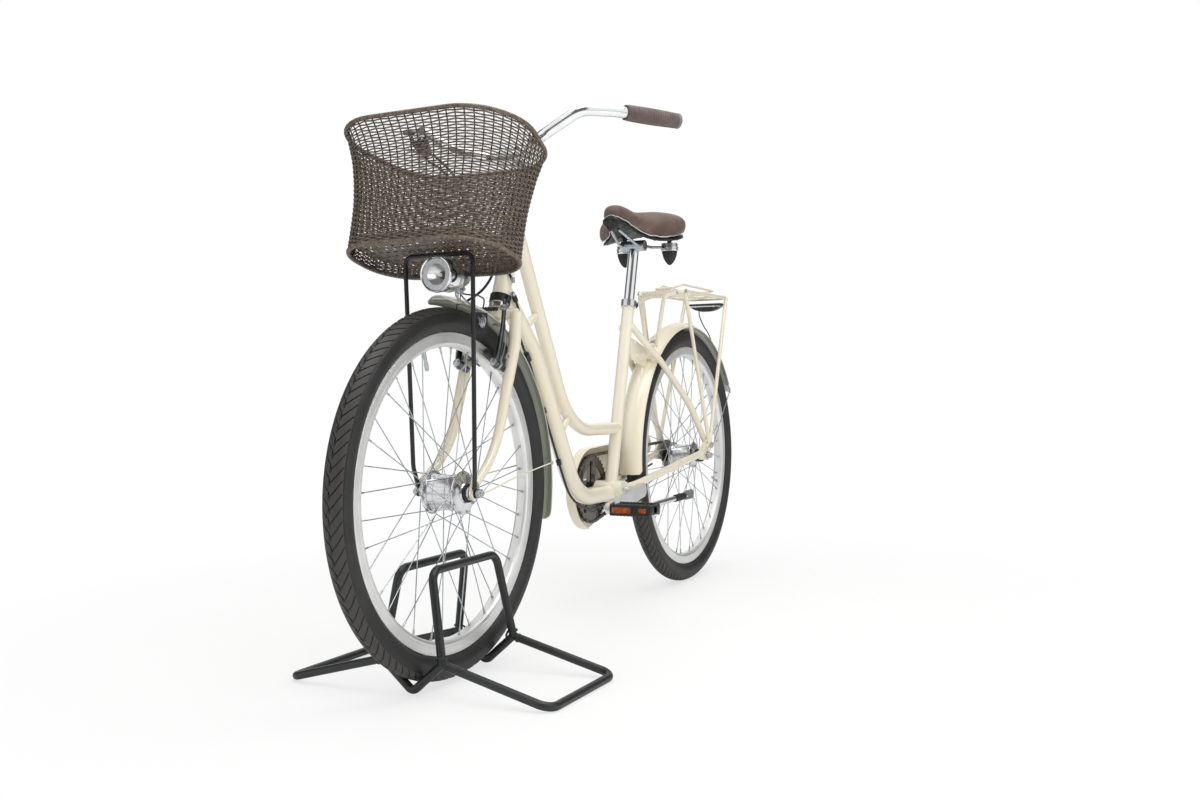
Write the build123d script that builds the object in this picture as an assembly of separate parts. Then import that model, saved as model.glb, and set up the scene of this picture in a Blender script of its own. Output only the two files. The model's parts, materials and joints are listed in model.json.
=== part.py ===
from build123d import *
from math import cos, pi, radians, sin, tan
import os

# Step-through city bicycle with its front wheel in a floor stand.  Millimetres.
# +X is forwards, +Y is the rider's left, +Z is up.  The origin is on the floor,
# in the bicycle's middle plane, half way between the two axles.

# ---------------------------------------------------------------- driving sizes
# Wheels
WHEELBASE = 1120.0
TYRE_RADIUS = 329.5
TYRE_WIDTH = 47.0
TYRE_WALL = 4.0
RIM_EDGE_RADIUS = 285.5
RIM_WIDTH = 26.0
RIM_DEPTH = 17.0
RIM_WALL = 1.6
BEAD_DEPTH = 9.0
BEAD_GAP = 0.3
SPOKE_RADIUS = 1.0
SPOKES_PER_SIDE = 18
SPOKE_CROSSING = 54.0
SPOKE_SEAT_DEPTH = 1.5
SPOKE_FLANGE_GAP = 0.4
SPOKE_RIM_OFFSET = 3.0
LIFT_IN_STAND = 6.0

# Hubs and axles
AXLE_RADIUS = 5.0
RUNNING_FIT = 0.05
FLANGE_THICKNESS = 3.5
HUB_END_RADIUS = 13.0
HUB_END_CLEARANCE = 1.0
FRONT_FLANGE_RADIUS = 39.0
FRONT_FLANGE_OFFSET = 31.0
FRONT_DRUM_RADIUS = 32.0
FRONT_DROPOUT_GAP = 100.0
REAR_FLANGE_RADIUS = 34.0
REAR_FLANGE_OFFSET = 28.0
REAR_DRUM_RADIUS = 27.0
REAR_DROPOUT_GAP = 120.0
DROPOUT_THICKNESS = 5.0
DROPOUT_RADIUS = 11.0
EYE_THICKNESS = 2.5
EYE_RADIUS = 9.0
NUT_RADIUS = 9.0
NUT_LENGTH = 8.0
AXLE_END = 3.0

# Fork and steering
HEAD_ANGLE = 69.0
FORK_OFFSET = 52.0
CROWN_BOTTOM = 356.0
CROWN_HEIGHT = 22.0
CROWN_RADIUS = 18.0
HEADSET_HEIGHT = 9.0
HEAD_TUBE_LENGTH = 214.0
HEAD_TUBE_RADIUS = 18.0
HEAD_TUBE_WALL = 3.0
STEERER_RADIUS = 12.7
BLADE_TOP_RADIUS = 12.5
BLADE_TIP_RADIUS = 7.5
BLADE_SPREAD = 50.0
BLADE_RAKE_START = 92.0
BLADE_RAKE_RADIUS = 170.0

# Frame
TUBE_WALL = 2.0
BB_X = -109.0
BB_HEIGHT = 280.0
BB_SHELL_RADIUS = 20.0
BB_SHELL_WIDTH = 68.0
SEAT_ANGLE = 75.0
SEAT_TUBE_LENGTH = 452.0
SEAT_TUBE_RADIUS = 14.3
LOWER_TUBE_RADIUS = 19.0
LOWER_TUBE_BENDS = [260.0, 120.0]
LOWER_TUBE_DROP = 32.0
UPPER_TUBE_RADIUS = 14.0
UPPER_TUBE_BEND = 170.0
UPPER_TUBE_SEAT = 144.0
BRACE_RADIUS = 8.0
CHAINSTAY_RADIUS = 9.0
SEAT_STAY_RADIUS = 8.0
SEAT_STAY_TOP = 392.0
BRIDGE_RADIUS = 7.0

# Saddle and seat post
SEATPOST_RADIUS = 12.7
SEATPOST_SHOWING = 128.0
SEATPOST_INSERT = 80.0
SADDLE_LENGTH = 262.0
SADDLE_WIDTH = 208.0
SADDLE_TOP = 940.0
SADDLE_RAIL_DROP = 88.0
SPRING_LENGTH = 36.0

# Handlebar
BAR_RADIUS = 11.1
BAR_WIDTH = 600.0
BAR_CLAMP_RADIUS = 12.7
GRIP_RADIUS = 16.0
GRIP_LENGTH = 125.0
SHIFTER_LENGTH = 30.0
STEM_REACH = 62.0
STEM_RISE = 66.0

# Mudguards
GUARD_RADIUS = 350.0
GUARD_WIDTH = 56.0
GUARD_THICKNESS = 2.0
GUARD_SAG = 13.0
FRONT_GUARD_SPAN = (83.0, 194.0)
REAR_GUARD_SPAN = (-4.0, 148.0)
GUARD_STAY_RADIUS = 1.25

# Drive
CRANK_LENGTH = 170.0
CRANK_ANGLE = -8.0
CRANK_OFFSET = 78.0
CRANK_THICKNESS = 12.0
CHAINRING_RADIUS = 76.8
CHAINRING_OFFSET = 48.0
CHAINRING_THICKNESS = 3.0
SPROCKET_RADIUS = 36.4
CHAIN_WIDTH = 8.0
CHAIN_HEIGHT = 9.0
CHAIN_CLEARANCE = 0.5
COVER_MARGIN = 18.0
COVER_OFFSET = 66.0
COVER_WALL = 1.5
COVER_FLANGE = 22.0
PEDAL_LENGTH = 96.0
PEDAL_WIDTH = 62.0
PEDAL_THICKNESS = 26.0
PEDAL_GAP = 5.0
PEDAL_AXLE_RADIUS = 4.5
SPINDLE_RADIUS = 8.0

# Kickstand
KICK_PIVOT_RADIUS = 5.0
KICK_LEG_RADIUS = 7.0

# Luggage rack
RACK_TUBE_RADIUS = 5.0
RACK_TOP = 752.0
RACK_HALF_WIDTH = 60.0
RACK_FRONT = -365.0
RACK_SHOULDER = -432.0
RACK_REAR = -748.0

# Basket and its carrier
BASKET_X = 594.0
BASKET_BOTTOM = 744.0
BASKET_TILT = 15.0
BASKET_HEIGHT = 225.0
BASKET_WALL = 7.0
BASKET_FOOT = 20.0
BASKET_FLOOR = 6.0
CARRIER_RADIUS = 4.0
CARRIER_X = 577.0
CARRIER_HALF_WIDTH = 71.0

# Headlamp: the middle of its front ring
LAMP_FRONT = (616.0, 24.0, 717.6)
LAMP_RADIUS = 31.5
LAMP_BOLT_SHARE = 0.68
LAMP_TAB_THICKNESS = 3.0

# Cables
HOUSING_RADIUS = 2.5
WIRE_RADIUS = 1.5

# Wheel stand
STAND_TUBE_RADIUS = 7.5
STAND_FOOT_REACH = 272.0
STAND_LENGTH = 250.0
STAND_HOOP_HEIGHT = 213.0
STAND_HOOP_INSET = 14.0
STAND_KNEE = 60.0
STAND_TYRE_GAP = 2.0

# ---------------------------------------------------------------- derived places
REAR_AXLE = Vector(-WHEELBASE / 2, 0, TYRE_RADIUS)
FRONT_AXLE = Vector(WHEELBASE / 2, 0, TYRE_RADIUS + LIFT_IN_STAND)
BB = Vector(BB_X, 0, BB_HEIGHT)
KICK_PIVOT = BB + Vector(-67, 26, -34)
STEER_UP = Vector(-cos(radians(HEAD_ANGLE)), 0, sin(radians(HEAD_ANGLE)))
STEER_AHEAD = Vector(sin(radians(HEAD_ANGLE)), 0, cos(radians(HEAD_ANGLE)))
STEER_FOOT = FRONT_AXLE - STEER_AHEAD * FORK_OFFSET
SEAT_UP = Vector(-cos(radians(SEAT_ANGLE)), 0, sin(radians(SEAT_ANGLE)))
HEAD_TUBE_BOTTOM = CROWN_BOTTOM + CROWN_HEIGHT + HEADSET_HEIGHT
HEAD_TUBE_TOP = HEAD_TUBE_BOTTOM + HEAD_TUBE_LENGTH
STEM_TOP = HEAD_TUBE_TOP + HEADSET_HEIGHT + STEM_RISE
FRONT_OUTSIDE = FRONT_DROPOUT_GAP / 2 + DROPOUT_THICKNESS
REAR_OUTSIDE = REAR_DROPOUT_GAP / 2 + DROPOUT_THICKNESS


# ---------------------------------------------------------------- helpers
def on_steering(height, ahead=0.0, left=0.0):
    """A place given along the steering axis, ahead of it and to the left of it."""
    return STEER_FOOT + STEER_UP * height + STEER_AHEAD * ahead + Vector(0, left, 0)


def on_seat_tube(height):
    """A place on the seat tube's centre line, measured up from the bottom bracket."""
    return BB + SEAT_UP * height


def around(axle, radius, angle, left=0.0):
    """A place at a radius and an angle above the horizontal about an axle."""
    turn = radians(angle)
    return axle + Vector(radius * cos(turn), left, radius * sin(turn))


def mirrored(shape):
    """The same shape on the other side of the bicycle."""
    return shape.mirror(Plane.XZ)


def rod(start, end, radius, end_radius=None):
    """A round bar, or a cone when the second radius differs, between two places."""
    start = Vector(start)
    end = Vector(end)
    plane = Plane(origin=start, z_dir=end - start)
    length = (end - start).length
    from_base = (Align.CENTER, Align.CENTER, Align.MIN)
    if end_radius is None:
        return plane * Cylinder(radius, length, align=from_base)
    return plane * Cone(radius, end_radius, length, align=from_base)


def sleeve(start, end, radius, bore):
    """A round bar with a hole right through it."""
    return rod(start, end, radius) - rod(start, end, bore)


def bent_rod(points, radii, radius):
    """A round bar along straight runs joined by arcs."""
    path = FilletPolyline(*points, radius=radii)
    return sweep((path ^ 0) * Circle(radius), path=path)


def bent_pipe(points, radii, radius, wall):
    """A hollow tube along straight runs joined by arcs."""
    path = FilletPolyline(*points, radius=radii)
    return sweep((path ^ 0) * (Circle(radius) - Circle(radius - wall)), path=path)


def cable(points, radius):
    """A cable along its route, with each arc as large as its two runs allow."""
    places = [Vector(point) for point in points]
    runs = [after - before for before, after in zip(places, places[1:])]
    radii = []
    for before, after in zip(runs, runs[1:]):
        half_turn = radians(before.get_angle(after)) / 2
        radii.append(0.45 * min(before.length, after.length) / tan(half_turn))
    path = FilletPolyline(*places, radius=radii)
    solid = sweep((path ^ 0) * Circle(radius), path=path)
    share = solid.volume / (pi * radius ** 2 * path.length)
    print("cable radii", [round(value) for value in radii])
    print("cable length", round(path.length), "volume share", round(share, 4))
    return solid


def turned(outline, centre):
    """A ring turned about an axle: the outline gives (y, radius) pairs."""
    face = make_face(Polyline(*[(0, y, r) for y, r in outline], close=True))
    return Pos(*centre) * revolve(face, Axis.Y)


def across(centre, radius, y_from, y_to):
    """A round bar across the bicycle at the height of a centre."""
    return rod((centre.X, y_from, centre.Z), (centre.X, y_to, centre.Z), radius)


def side_plate(outline, y, thickness):
    """A flat plate parallel to the middle plane: its outline gives (x, z) pairs."""
    plane = Plane(origin=(0, y, 0), x_dir=(1, 0, 0), z_dir=(0, -1, 0))
    return extrude(plane * make_face(Polyline(*outline, close=True)), amount=thickness / 2, both=True)


def hull_plate(circles, y, thickness):
    """A flat plate around circles given as (x, z, radius)."""
    edges = []
    for x, z, radius in circles:
        edges += (Pos(x, z) * Circle(radius)).edges()
    plane = Plane(origin=(0, y, 0), x_dir=(1, 0, 0), z_dir=(0, -1, 0))
    return extrude(plane * make_hull(edges), amount=thickness / 2, both=True)


def save(name, shape):
    """Write one sub-part and print its size."""
    export_step(shape, f"parts/{name}.step")
    print(f"{name:24s} solids {len(shape.solids()):3d}  volume {shape.volume / 1000:9.1f} cm3")
    return shape


# ---------------------------------------------------------------- wheels
def tyre(axle):
    """A hollow tyre carcase whose beads sit inside the rim's edges."""
    section_centre = TYRE_RADIUS - TYRE_WIDTH / 2
    plane = Plane(origin=(0, 0, section_centre), x_dir=(0, 1, 0), z_dir=(1, 0, 0))
    ring = plane * Circle(TYRE_WIDTH / 2) - plane * Circle(TYRE_WIDTH / 2 - TYRE_WALL)
    mouth = Plane(origin=(0, 0, RIM_EDGE_RADIUS - TYRE_WIDTH / 2), x_dir=(0, 1, 0), z_dir=(1, 0, 0))
    ring = ring - mouth * Rectangle(TYRE_WIDTH + 2, TYRE_WIDTH)
    return Pos(*axle) * revolve(ring, Axis.Y)


def rim(axle):
    """A double-wall rim with two upright edges for the tyre."""
    half = RIM_WIDTH / 2
    inner_half = half - RIM_WALL
    edge = RIM_EDGE_RADIUS - BEAD_GAP
    bed = RIM_EDGE_RADIUS - BEAD_DEPTH
    inner = bed - RIM_DEPTH
    slope = 6.0
    outline = [
        (-half, edge),
        (-half, inner + slope),
        (-half + slope, inner),
        (half - slope, inner),
        (half, inner + slope),
        (half, edge),
        (inner_half, edge),
        (inner_half, bed),
        (-inner_half, bed),
        (-inner_half, edge),
    ]
    hollow = [
        (-inner_half, bed - RIM_WALL),
        (-inner_half, inner + slope + RIM_WALL / 3),
        (-half + slope + RIM_WALL / 3, inner + RIM_WALL),
        (half - slope - RIM_WALL / 3, inner + RIM_WALL),
        (inner_half, inner + slope + RIM_WALL / 3),
        (inner_half, bed - RIM_WALL),
    ]
    return turned(outline, axle) - turned(hollow, axle)


def spokes(axle, flange_radius, flange_offset):
    """Crossed spokes, one set on each face of both hub flanges, out to the rim."""
    rim_face = RIM_EDGE_RADIUS - BEAD_DEPTH - RIM_DEPTH - BEAD_GAP
    seat = flange_radius - SPOKE_SEAT_DEPTH
    beside_flange = FLANGE_THICKNESS / 2 + SPOKE_RADIUS + SPOKE_FLANGE_GAP
    bars = []
    for side in (-1, 1):
        first = 0.25 if side > 0 else 0.75
        for index in range(SPOKES_PER_SIDE):
            lean = 1 if index % 2 == 0 else -1
            rim_angle = 360 * (index + first) / SPOKES_PER_SIDE
            hub_angle = rim_angle + lean * SPOKE_CROSSING
            start = around(axle, seat, hub_angle, side * (flange_offset + lean * beside_flange))
            end = around(axle, rim_face, rim_angle, side * SPOKE_RIM_OFFSET)
            bars.append(rod(start, end, SPOKE_RADIUS))
    return Compound(children=bars)


def hub(axle, flange_radius, flange_offset, drum_radius, dropout_gap):
    """A hub shell with two flanges and a bore for the fixed axle."""
    bore = AXLE_RADIUS + RUNNING_FIT
    half_width = dropout_gap / 2 - HUB_END_CLEARANCE
    half_flange = FLANGE_THICKNESS / 2
    neck = flange_offset + 8
    right_half = [
        (flange_offset - half_flange, drum_radius),
        (flange_offset - half_flange, flange_radius),
        (flange_offset + half_flange, flange_radius),
        (flange_offset + half_flange, drum_radius - 6),
        (neck, HUB_END_RADIUS + 3),
        (half_width, HUB_END_RADIUS),
        (half_width, bore),
    ]
    left_half = [(-y, radius) for y, radius in reversed(right_half)]
    return turned(left_half + right_half, axle)


def axle_set(axle, outside, stack):
    """The fixed axle with a washer and a nut outside each dropout and its stack of eyes."""
    nut_start = outside + stack + 2
    shape = across(axle, AXLE_RADIUS, -nut_start - NUT_LENGTH - AXLE_END, nut_start + NUT_LENGTH + AXLE_END)
    for side in (-1, 1):
        washer = across(axle, NUT_RADIUS + 1, side * (outside + stack), side * nut_start)
        plane = Plane(origin=(axle.X, side * nut_start, axle.Z), z_dir=(0, side, 0))
        nut = extrude(plane * RegularPolygon(NUT_RADIUS, 6), amount=NUT_LENGTH)
        shape = shape + washer + nut
    return shape


def eye(axle, side, inner):
    """A flat eye on the axle, whose inner face is the given distance from the middle plane."""
    ring = across(axle, EYE_RADIUS, side * inner, side * (inner + EYE_THICKNESS))
    return ring - across(axle, AXLE_RADIUS, side * inner, side * (inner + EYE_THICKNESS))


def make_wheels():
    places = (
        ("front", FRONT_AXLE, FRONT_FLANGE_RADIUS, FRONT_FLANGE_OFFSET, FRONT_DRUM_RADIUS, FRONT_DROPOUT_GAP),
        ("rear", REAR_AXLE, REAR_FLANGE_RADIUS, REAR_FLANGE_OFFSET, REAR_DRUM_RADIUS, REAR_DROPOUT_GAP),
    )
    for name, axle, flange_radius, flange_offset, drum_radius, gap in places:
        save(f"{name}_tyre", tyre(axle))
        save(f"{name}_rim", rim(axle))
        save(f"{name}_hub", hub(axle, flange_radius, flange_offset, drum_radius, gap))
        save(f"{name}_spokes", spokes(axle, flange_radius, flange_offset))
    save("front_axle", axle_set(FRONT_AXLE, FRONT_OUTSIDE, 2 * EYE_THICKNESS))
    save("rear_axle", axle_set(REAR_AXLE, REAR_OUTSIDE, EYE_THICKNESS))
    root = SPROCKET_RADIUS - CHAIN_HEIGHT / 2 - CHAIN_CLEARANCE
    half = CHAINRING_THICKNESS / 2
    plate = across(REAR_AXLE, root, -CHAINRING_OFFSET - half, -CHAINRING_OFFSET + half)
    save("rear_sprocket", plate - across(REAR_AXLE, HUB_END_RADIUS + 3.5, -CHAINRING_OFFSET - half, 0))


# ---------------------------------------------------------------- fork and steering
def make_fork():
    crown_centre = CROWN_BOTTOM + CROWN_HEIGHT / 2
    crown_half = BLADE_SPREAD - 6
    tip_left = FRONT_DROPOUT_GAP / 2 + BLADE_TIP_RADIUS
    tip_height = 16.0
    crown_ends = [on_steering(crown_centre, 0, side * crown_half) for side in (-1, 1)]
    shape = rod(*crown_ends, CROWN_HEIGHT / 2)
    shape = shape + rod(on_steering(CROWN_BOTTOM), on_steering(CROWN_BOTTOM + CROWN_HEIGHT), CROWN_RADIUS)
    for side in (-1, 1):
        path = FilletPolyline(
            on_steering(crown_centre, 0, side * (BLADE_SPREAD - 8)),
            on_steering(CROWN_BOTTOM - 50, 0, side * BLADE_SPREAD),
            on_steering(BLADE_RAKE_START, 0, side * BLADE_SPREAD),
            FRONT_AXLE + Vector(0, side * tip_left, tip_height),
            radius=[120, BLADE_RAKE_RADIUS],
        )
        ends = [(path ^ 0) * Circle(BLADE_TOP_RADIUS), (path ^ 1) * Circle(BLADE_TIP_RADIUS)]
        shape = shape + sweep(ends, path=path, multisection=True)
        circles = [
            (FRONT_AXLE.X, FRONT_AXLE.Z, DROPOUT_RADIUS),
            (FRONT_AXLE.X - 6, FRONT_AXLE.Z + tip_height + 8, BLADE_TIP_RADIUS),
        ]
        shape = shape + hull_plate(circles, side * (FRONT_OUTSIDE - DROPOUT_THICKNESS / 2), DROPOUT_THICKNESS)
    shape = shape - across(FRONT_AXLE, AXLE_RADIUS, -FRONT_OUTSIDE, FRONT_OUTSIDE)
    steerer_top = on_steering(HEAD_TUBE_TOP + HEADSET_HEIGHT)
    steerer = rod(on_steering(CROWN_BOTTOM + CROWN_HEIGHT), steerer_top, STEERER_RADIUS)
    save("fork", shape + steerer)


def bar_points():
    """The handlebar's corners from its middle out to the left end."""
    clamp = on_steering(STEM_TOP, STEM_REACH)
    half = BAR_WIDTH / 2
    return [
        clamp,
        clamp + Vector(0, 42, 0),
        clamp + Vector(58, 92, 12),
        clamp + Vector(34, 176, 64),
        clamp + Vector(-20, 226, 66),
        clamp + Vector(-146, half - 4, 64),
    ]


def flip(place):
    """The same place on the rider's right."""
    return Vector(place.X, -place.Y, place.Z)


def make_handlebar():
    points = bar_points()
    left = bent_rod(points, [30, 40, 45, 60], BAR_RADIUS)
    clamp_half = 24.0
    clamp_bulge = across(points[0], BAR_CLAMP_RADIUS, -clamp_half, clamp_half)
    save("handlebar", left + mirrored(left) + clamp_bulge)

    along = (points[-1] - points[-2]).normalized()
    cap = 3.0
    grips = []
    for length, place in ((GRIP_LENGTH, lambda p: p), (GRIP_LENGTH - SHIFTER_LENGTH, flip)):
        start = place(points[-1] - along * (length - cap))
        end = place(points[-1])
        outward = (end - start).normalized()
        grips.append(rod(start, end + outward * cap, GRIP_RADIUS) - rod(start, end, BAR_RADIUS))
    save("grips", Compound(children=grips))

    def on_bar(distance):
        return flip(points[-1] - along * distance)

    grip_start = GRIP_LENGTH - cap
    shifter_end = on_bar(grip_start - SHIFTER_LENGTH + 0.5)
    shifter = sleeve(on_bar(grip_start), shifter_end, GRIP_RADIUS + 2, BAR_RADIUS)
    save("gear_shifter", shifter)

    perch = sleeve(on_bar(grip_start + 14), on_bar(grip_start + 0.5), BAR_RADIUS + 4, BAR_RADIUS)
    perch_foot = on_bar(grip_start + 7)
    knuckle = rod(perch_foot - Vector(0, 0, BAR_RADIUS), perch_foot - Vector(0, 0, 34), 6.5)
    blade_points = [
        perch_foot - Vector(0, 0, 30),
        on_bar(grip_start - 30) - Vector(0, 0, 46),
        on_bar(40) - Vector(0, 0, 42),
        on_bar(6) - Vector(0, 0, 46),
    ]
    blade = bent_rod(blade_points, [30, 60], 4.5)
    bar_space = rod(on_bar(grip_start + 20), on_bar(grip_start), BAR_RADIUS)
    save("brake_lever", perch + (knuckle - bar_space) + blade)

    clamp = points[0]
    quill = rod(on_steering(HEAD_TUBE_TOP + HEADSET_HEIGHT), on_steering(STEM_TOP + 12), BAR_RADIUS)
    arm = rod(on_steering(STEM_TOP), clamp, 12.5)
    ring = across(clamp, BAR_CLAMP_RADIUS + 5, -19, 19)
    save("stem", quill + arm + ring - across(clamp, BAR_CLAMP_RADIUS, -clamp_half, clamp_half))


# ---------------------------------------------------------------- mudguards
def guard_blade(axle, span):
    """A mudguard blade: a shallow curved section turned about an axle between two angles."""
    half = GUARD_WIDTH / 2
    inner_half = half - GUARD_THICKNESS
    edge = GUARD_RADIUS - GUARD_SAG
    outer = ThreePointArc((0, -half, edge), (0, 0, GUARD_RADIUS), (0, half, edge))
    inner_radius = GUARD_RADIUS - GUARD_THICKNESS
    inner = ThreePointArc((0, inner_half, edge), (0, 0, inner_radius), (0, -inner_half, edge))
    lips = [Line(outer @ 1, inner @ 0), Line(inner @ 1, outer @ 0)]
    face = make_face(Curve() + [outer, lips[0], inner, lips[1]])
    start_angle, end_angle = span
    ring = revolve(face, Axis.Y, end_angle - start_angle)
    return Pos(*axle) * Rot(0, 90 - end_angle, 0) * ring


def make_front_mudguard():
    """Front blade with one stay each side and a tab up to the fork crown."""
    stay_angle = 175.0
    shape = guard_blade(FRONT_AXLE, FRONT_GUARD_SPAN)
    shape = shape + rod(on_steering(CROWN_BOTTOM - 13), on_steering(CROWN_BOTTOM), 6)
    for side in (-1, 1):
        end = around(FRONT_AXLE, GUARD_RADIUS - GUARD_SAG + 2, stay_angle, side * (GUARD_WIDTH / 2 - 1))
        eye_centre = FRONT_AXLE + Vector(0, side * (FRONT_OUTSIDE + EYE_THICKNESS / 2), 0)
        start = eye_centre + Vector(-EYE_RADIUS + 2, 0, 0)
        shape = shape + eye(FRONT_AXLE, side, FRONT_OUTSIDE)
        outboard = eye_centre + Vector(-40, side * 4, 0)
        shape = shape + bent_rod([start, outboard, end], [30], GUARD_STAY_RADIUS)
    save("front_mudguard", shape)


def make_rear_mudguard():
    """Rear blade, its black end clip and one wire stay each side from the axle to the clip."""
    end_angle = REAR_GUARD_SPAN[1]
    clip_span = 4.0
    save("rear_mudguard", guard_blade(REAR_AXLE, REAR_GUARD_SPAN))
    shape = guard_blade(REAR_AXLE, (end_angle, end_angle + clip_span))
    clip_angle = end_angle + clip_span / 2
    clip_radius = GUARD_RADIUS - GUARD_SAG + 4
    for side in (-1, 1):
        middle = side * (REAR_OUTSIDE + EYE_THICKNESS / 2)
        points = [
            around(REAR_AXLE, EYE_RADIUS - 2, end_angle, middle),
            around(REAR_AXLE, 60, end_angle, middle + side),
            around(REAR_AXLE, clip_radius, clip_angle, side * GUARD_WIDTH / 2),
        ]
        shape = shape + bent_rod(points, [40], GUARD_STAY_RADIUS) + eye(REAR_AXLE, side, REAR_OUTSIDE)
    bores = across(REAR_AXLE, AXLE_RADIUS, -REAR_OUTSIDE - EYE_THICKNESS, REAR_OUTSIDE + EYE_THICKNESS)
    save("guard_stays", shape - bores)


# ---------------------------------------------------------------- frame
def lower_tube_points():
    """Centre line of the thick tube from the head tube down and round to the bottom bracket."""
    top = on_steering(HEAD_TUBE_BOTTOM + LOWER_TUBE_DROP)
    return [top, (240, 0, 585), BB + Vector(175, 0, -4), BB - Vector(0, 0, 8)]


def upper_tube_points():
    """Centre line of the slimmer tube above it, from the head tube to the seat tube."""
    return [on_steering(HEAD_TUBE_TOP - 36), (92, 0, 424), on_seat_tube(UPPER_TUBE_SEAT)]


def beside_dropout(side):
    """The space outside a rear dropout, which the flattened ends of the stays stay out of."""
    return across(REAR_AXLE, 90, side * REAR_OUTSIDE, side * (REAR_OUTSIDE + 20))


def chainstay(side):
    """One stay from the bottom bracket to its dropout, outboard of the tyre."""
    points = [
        BB + Vector(0, side * 24, 0),
        BB + Vector(-76, side * 30.5, 5),
        REAR_AXLE + Vector(38, side * (REAR_OUTSIDE - DROPOUT_THICKNESS / 2), 6),
    ]
    return bent_rod(points, [400], CHAINSTAY_RADIUS) - beside_dropout(side)


def dropout(side):
    """The flat plate that joins the two stays and holds the rear axle."""
    outline = [(-16, -14), (44, -9), (44, 16), (16, 36), (-14, 36)]
    corners = [(REAR_AXLE.X + x, REAR_AXLE.Z + z) for x, z in outline]
    plate = side_plate(corners, side * (REAR_OUTSIDE - DROPOUT_THICKNESS / 2), DROPOUT_THICKNESS)
    return plate - across(REAR_AXLE, AXLE_RADIUS, -REAR_OUTSIDE, REAR_OUTSIDE)


def seat_stay(side):
    """One stay from the seat tube down to its dropout, bowed outward past the mudguard."""
    points = [
        on_seat_tube(SEAT_STAY_TOP) + Vector(0, side * 12, 0),
        (-317, side * 40, 577),
        (-470, side * 55, 465),
        REAR_AXLE + Vector(3, side * (REAR_OUTSIDE - DROPOUT_THICKNESS / 2), 38),
    ]
    return bent_rod(points, [120, 300], SEAT_STAY_RADIUS) - beside_dropout(side)


def make_frame():
    head_ends = [on_steering(HEAD_TUBE_BOTTOM), on_steering(HEAD_TUBE_TOP)]
    head_outer = rod(*head_ends, HEAD_TUBE_RADIUS)
    head_bore = rod(*head_ends, HEAD_TUBE_RADIUS - HEAD_TUBE_WALL)
    save("head_tube", head_outer - head_bore)

    cups = []
    for base in (HEAD_TUBE_BOTTOM - HEADSET_HEIGHT + 0.4, HEAD_TUBE_TOP):
        top = on_steering(base + HEADSET_HEIGHT - 0.4)
        cups.append(sleeve(on_steering(base), top, HEAD_TUBE_RADIUS + 2, STEERER_RADIUS + RUNNING_FIT))
    save("headset", Compound(children=cups))

    shell_outer = across(BB, BB_SHELL_RADIUS, -BB_SHELL_WIDTH / 2, BB_SHELL_WIDTH / 2)
    seat_outer = rod(BB, on_seat_tube(SEAT_TUBE_LENGTH), SEAT_TUBE_RADIUS)
    seat_bore = rod(on_seat_tube(60), on_seat_tube(SEAT_TUBE_LENGTH), SEATPOST_RADIUS + RUNNING_FIT)
    spindle_bore = across(BB, SPINDLE_RADIUS + RUNNING_FIT, -BB_SHELL_WIDTH, BB_SHELL_WIDTH)
    save("seat_tube", seat_outer - seat_bore + shell_outer - spindle_bore)

    lower = bent_pipe(lower_tube_points(), LOWER_TUBE_BENDS, LOWER_TUBE_RADIUS, TUBE_WALL)
    lower_solid = bent_rod(lower_tube_points(), LOWER_TUBE_BENDS, LOWER_TUBE_RADIUS)
    save("lower_tube", lower - head_outer - shell_outer - seat_outer)

    upper = bent_pipe(upper_tube_points(), [UPPER_TUBE_BEND], UPPER_TUBE_RADIUS, TUBE_WALL)
    upper_bore = bent_rod(upper_tube_points(), [UPPER_TUBE_BEND], UPPER_TUBE_RADIUS - TUBE_WALL / 2)
    upper = upper - head_outer - seat_outer
    for upper_end, lower_end in (((218, 0, 670), (290, 0, 632)), ((88, 0, 462), (145, 0, 408))):
        upper = upper + (rod(upper_end, lower_end, BRACE_RADIUS) - upper_bore - lower_solid)
    save("upper_tube", upper)

    lower_stays = []
    upper_stays = []
    for side in (-1, 1):
        plate = dropout(side)
        lower_stays.append(chainstay(side) - shell_outer - seat_outer - lower_solid + plate)
        upper_stays.append(seat_stay(side) - seat_outer - plate)
    save("chainstays", Compound(children=lower_stays))
    bridge = across(around(REAR_AXLE, GUARD_RADIUS + BRIDGE_RADIUS + 0.1, 46), BRIDGE_RADIUS, -38, 38)
    guard_space = across(REAR_AXLE, GUARD_RADIUS + 0.2, -GUARD_WIDTH / 2, GUARD_WIDTH / 2)
    gusset = side_plate([(-208, 634), (-222, 580), (-300, 560), (-345, 596)], 6, 4)
    for x, z in ((-232, 618), (-250, 590)):
        gusset = gusset + across(Vector(x, 0, z), 5, 4, 12)
    save("seat_stays", upper_stays[0] + upper_stays[1] + bridge + (gusset - seat_outer - guard_space))

    clamp_top = SEAT_TUBE_LENGTH + 2
    clamp = rod(on_seat_tube(SEAT_TUBE_LENGTH - 14), on_seat_tube(clamp_top), SEAT_TUBE_RADIUS + 4)
    ear = across(on_seat_tube(SEAT_TUBE_LENGTH - 6) + Vector(-SEAT_TUBE_RADIUS - 8, 0, 0), 5, -10, 10)
    post_bore = rod(BB, on_seat_tube(clamp_top), SEATPOST_RADIUS + RUNNING_FIT)
    save("seat_clamp", clamp + ear - seat_outer - post_bore)


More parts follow.
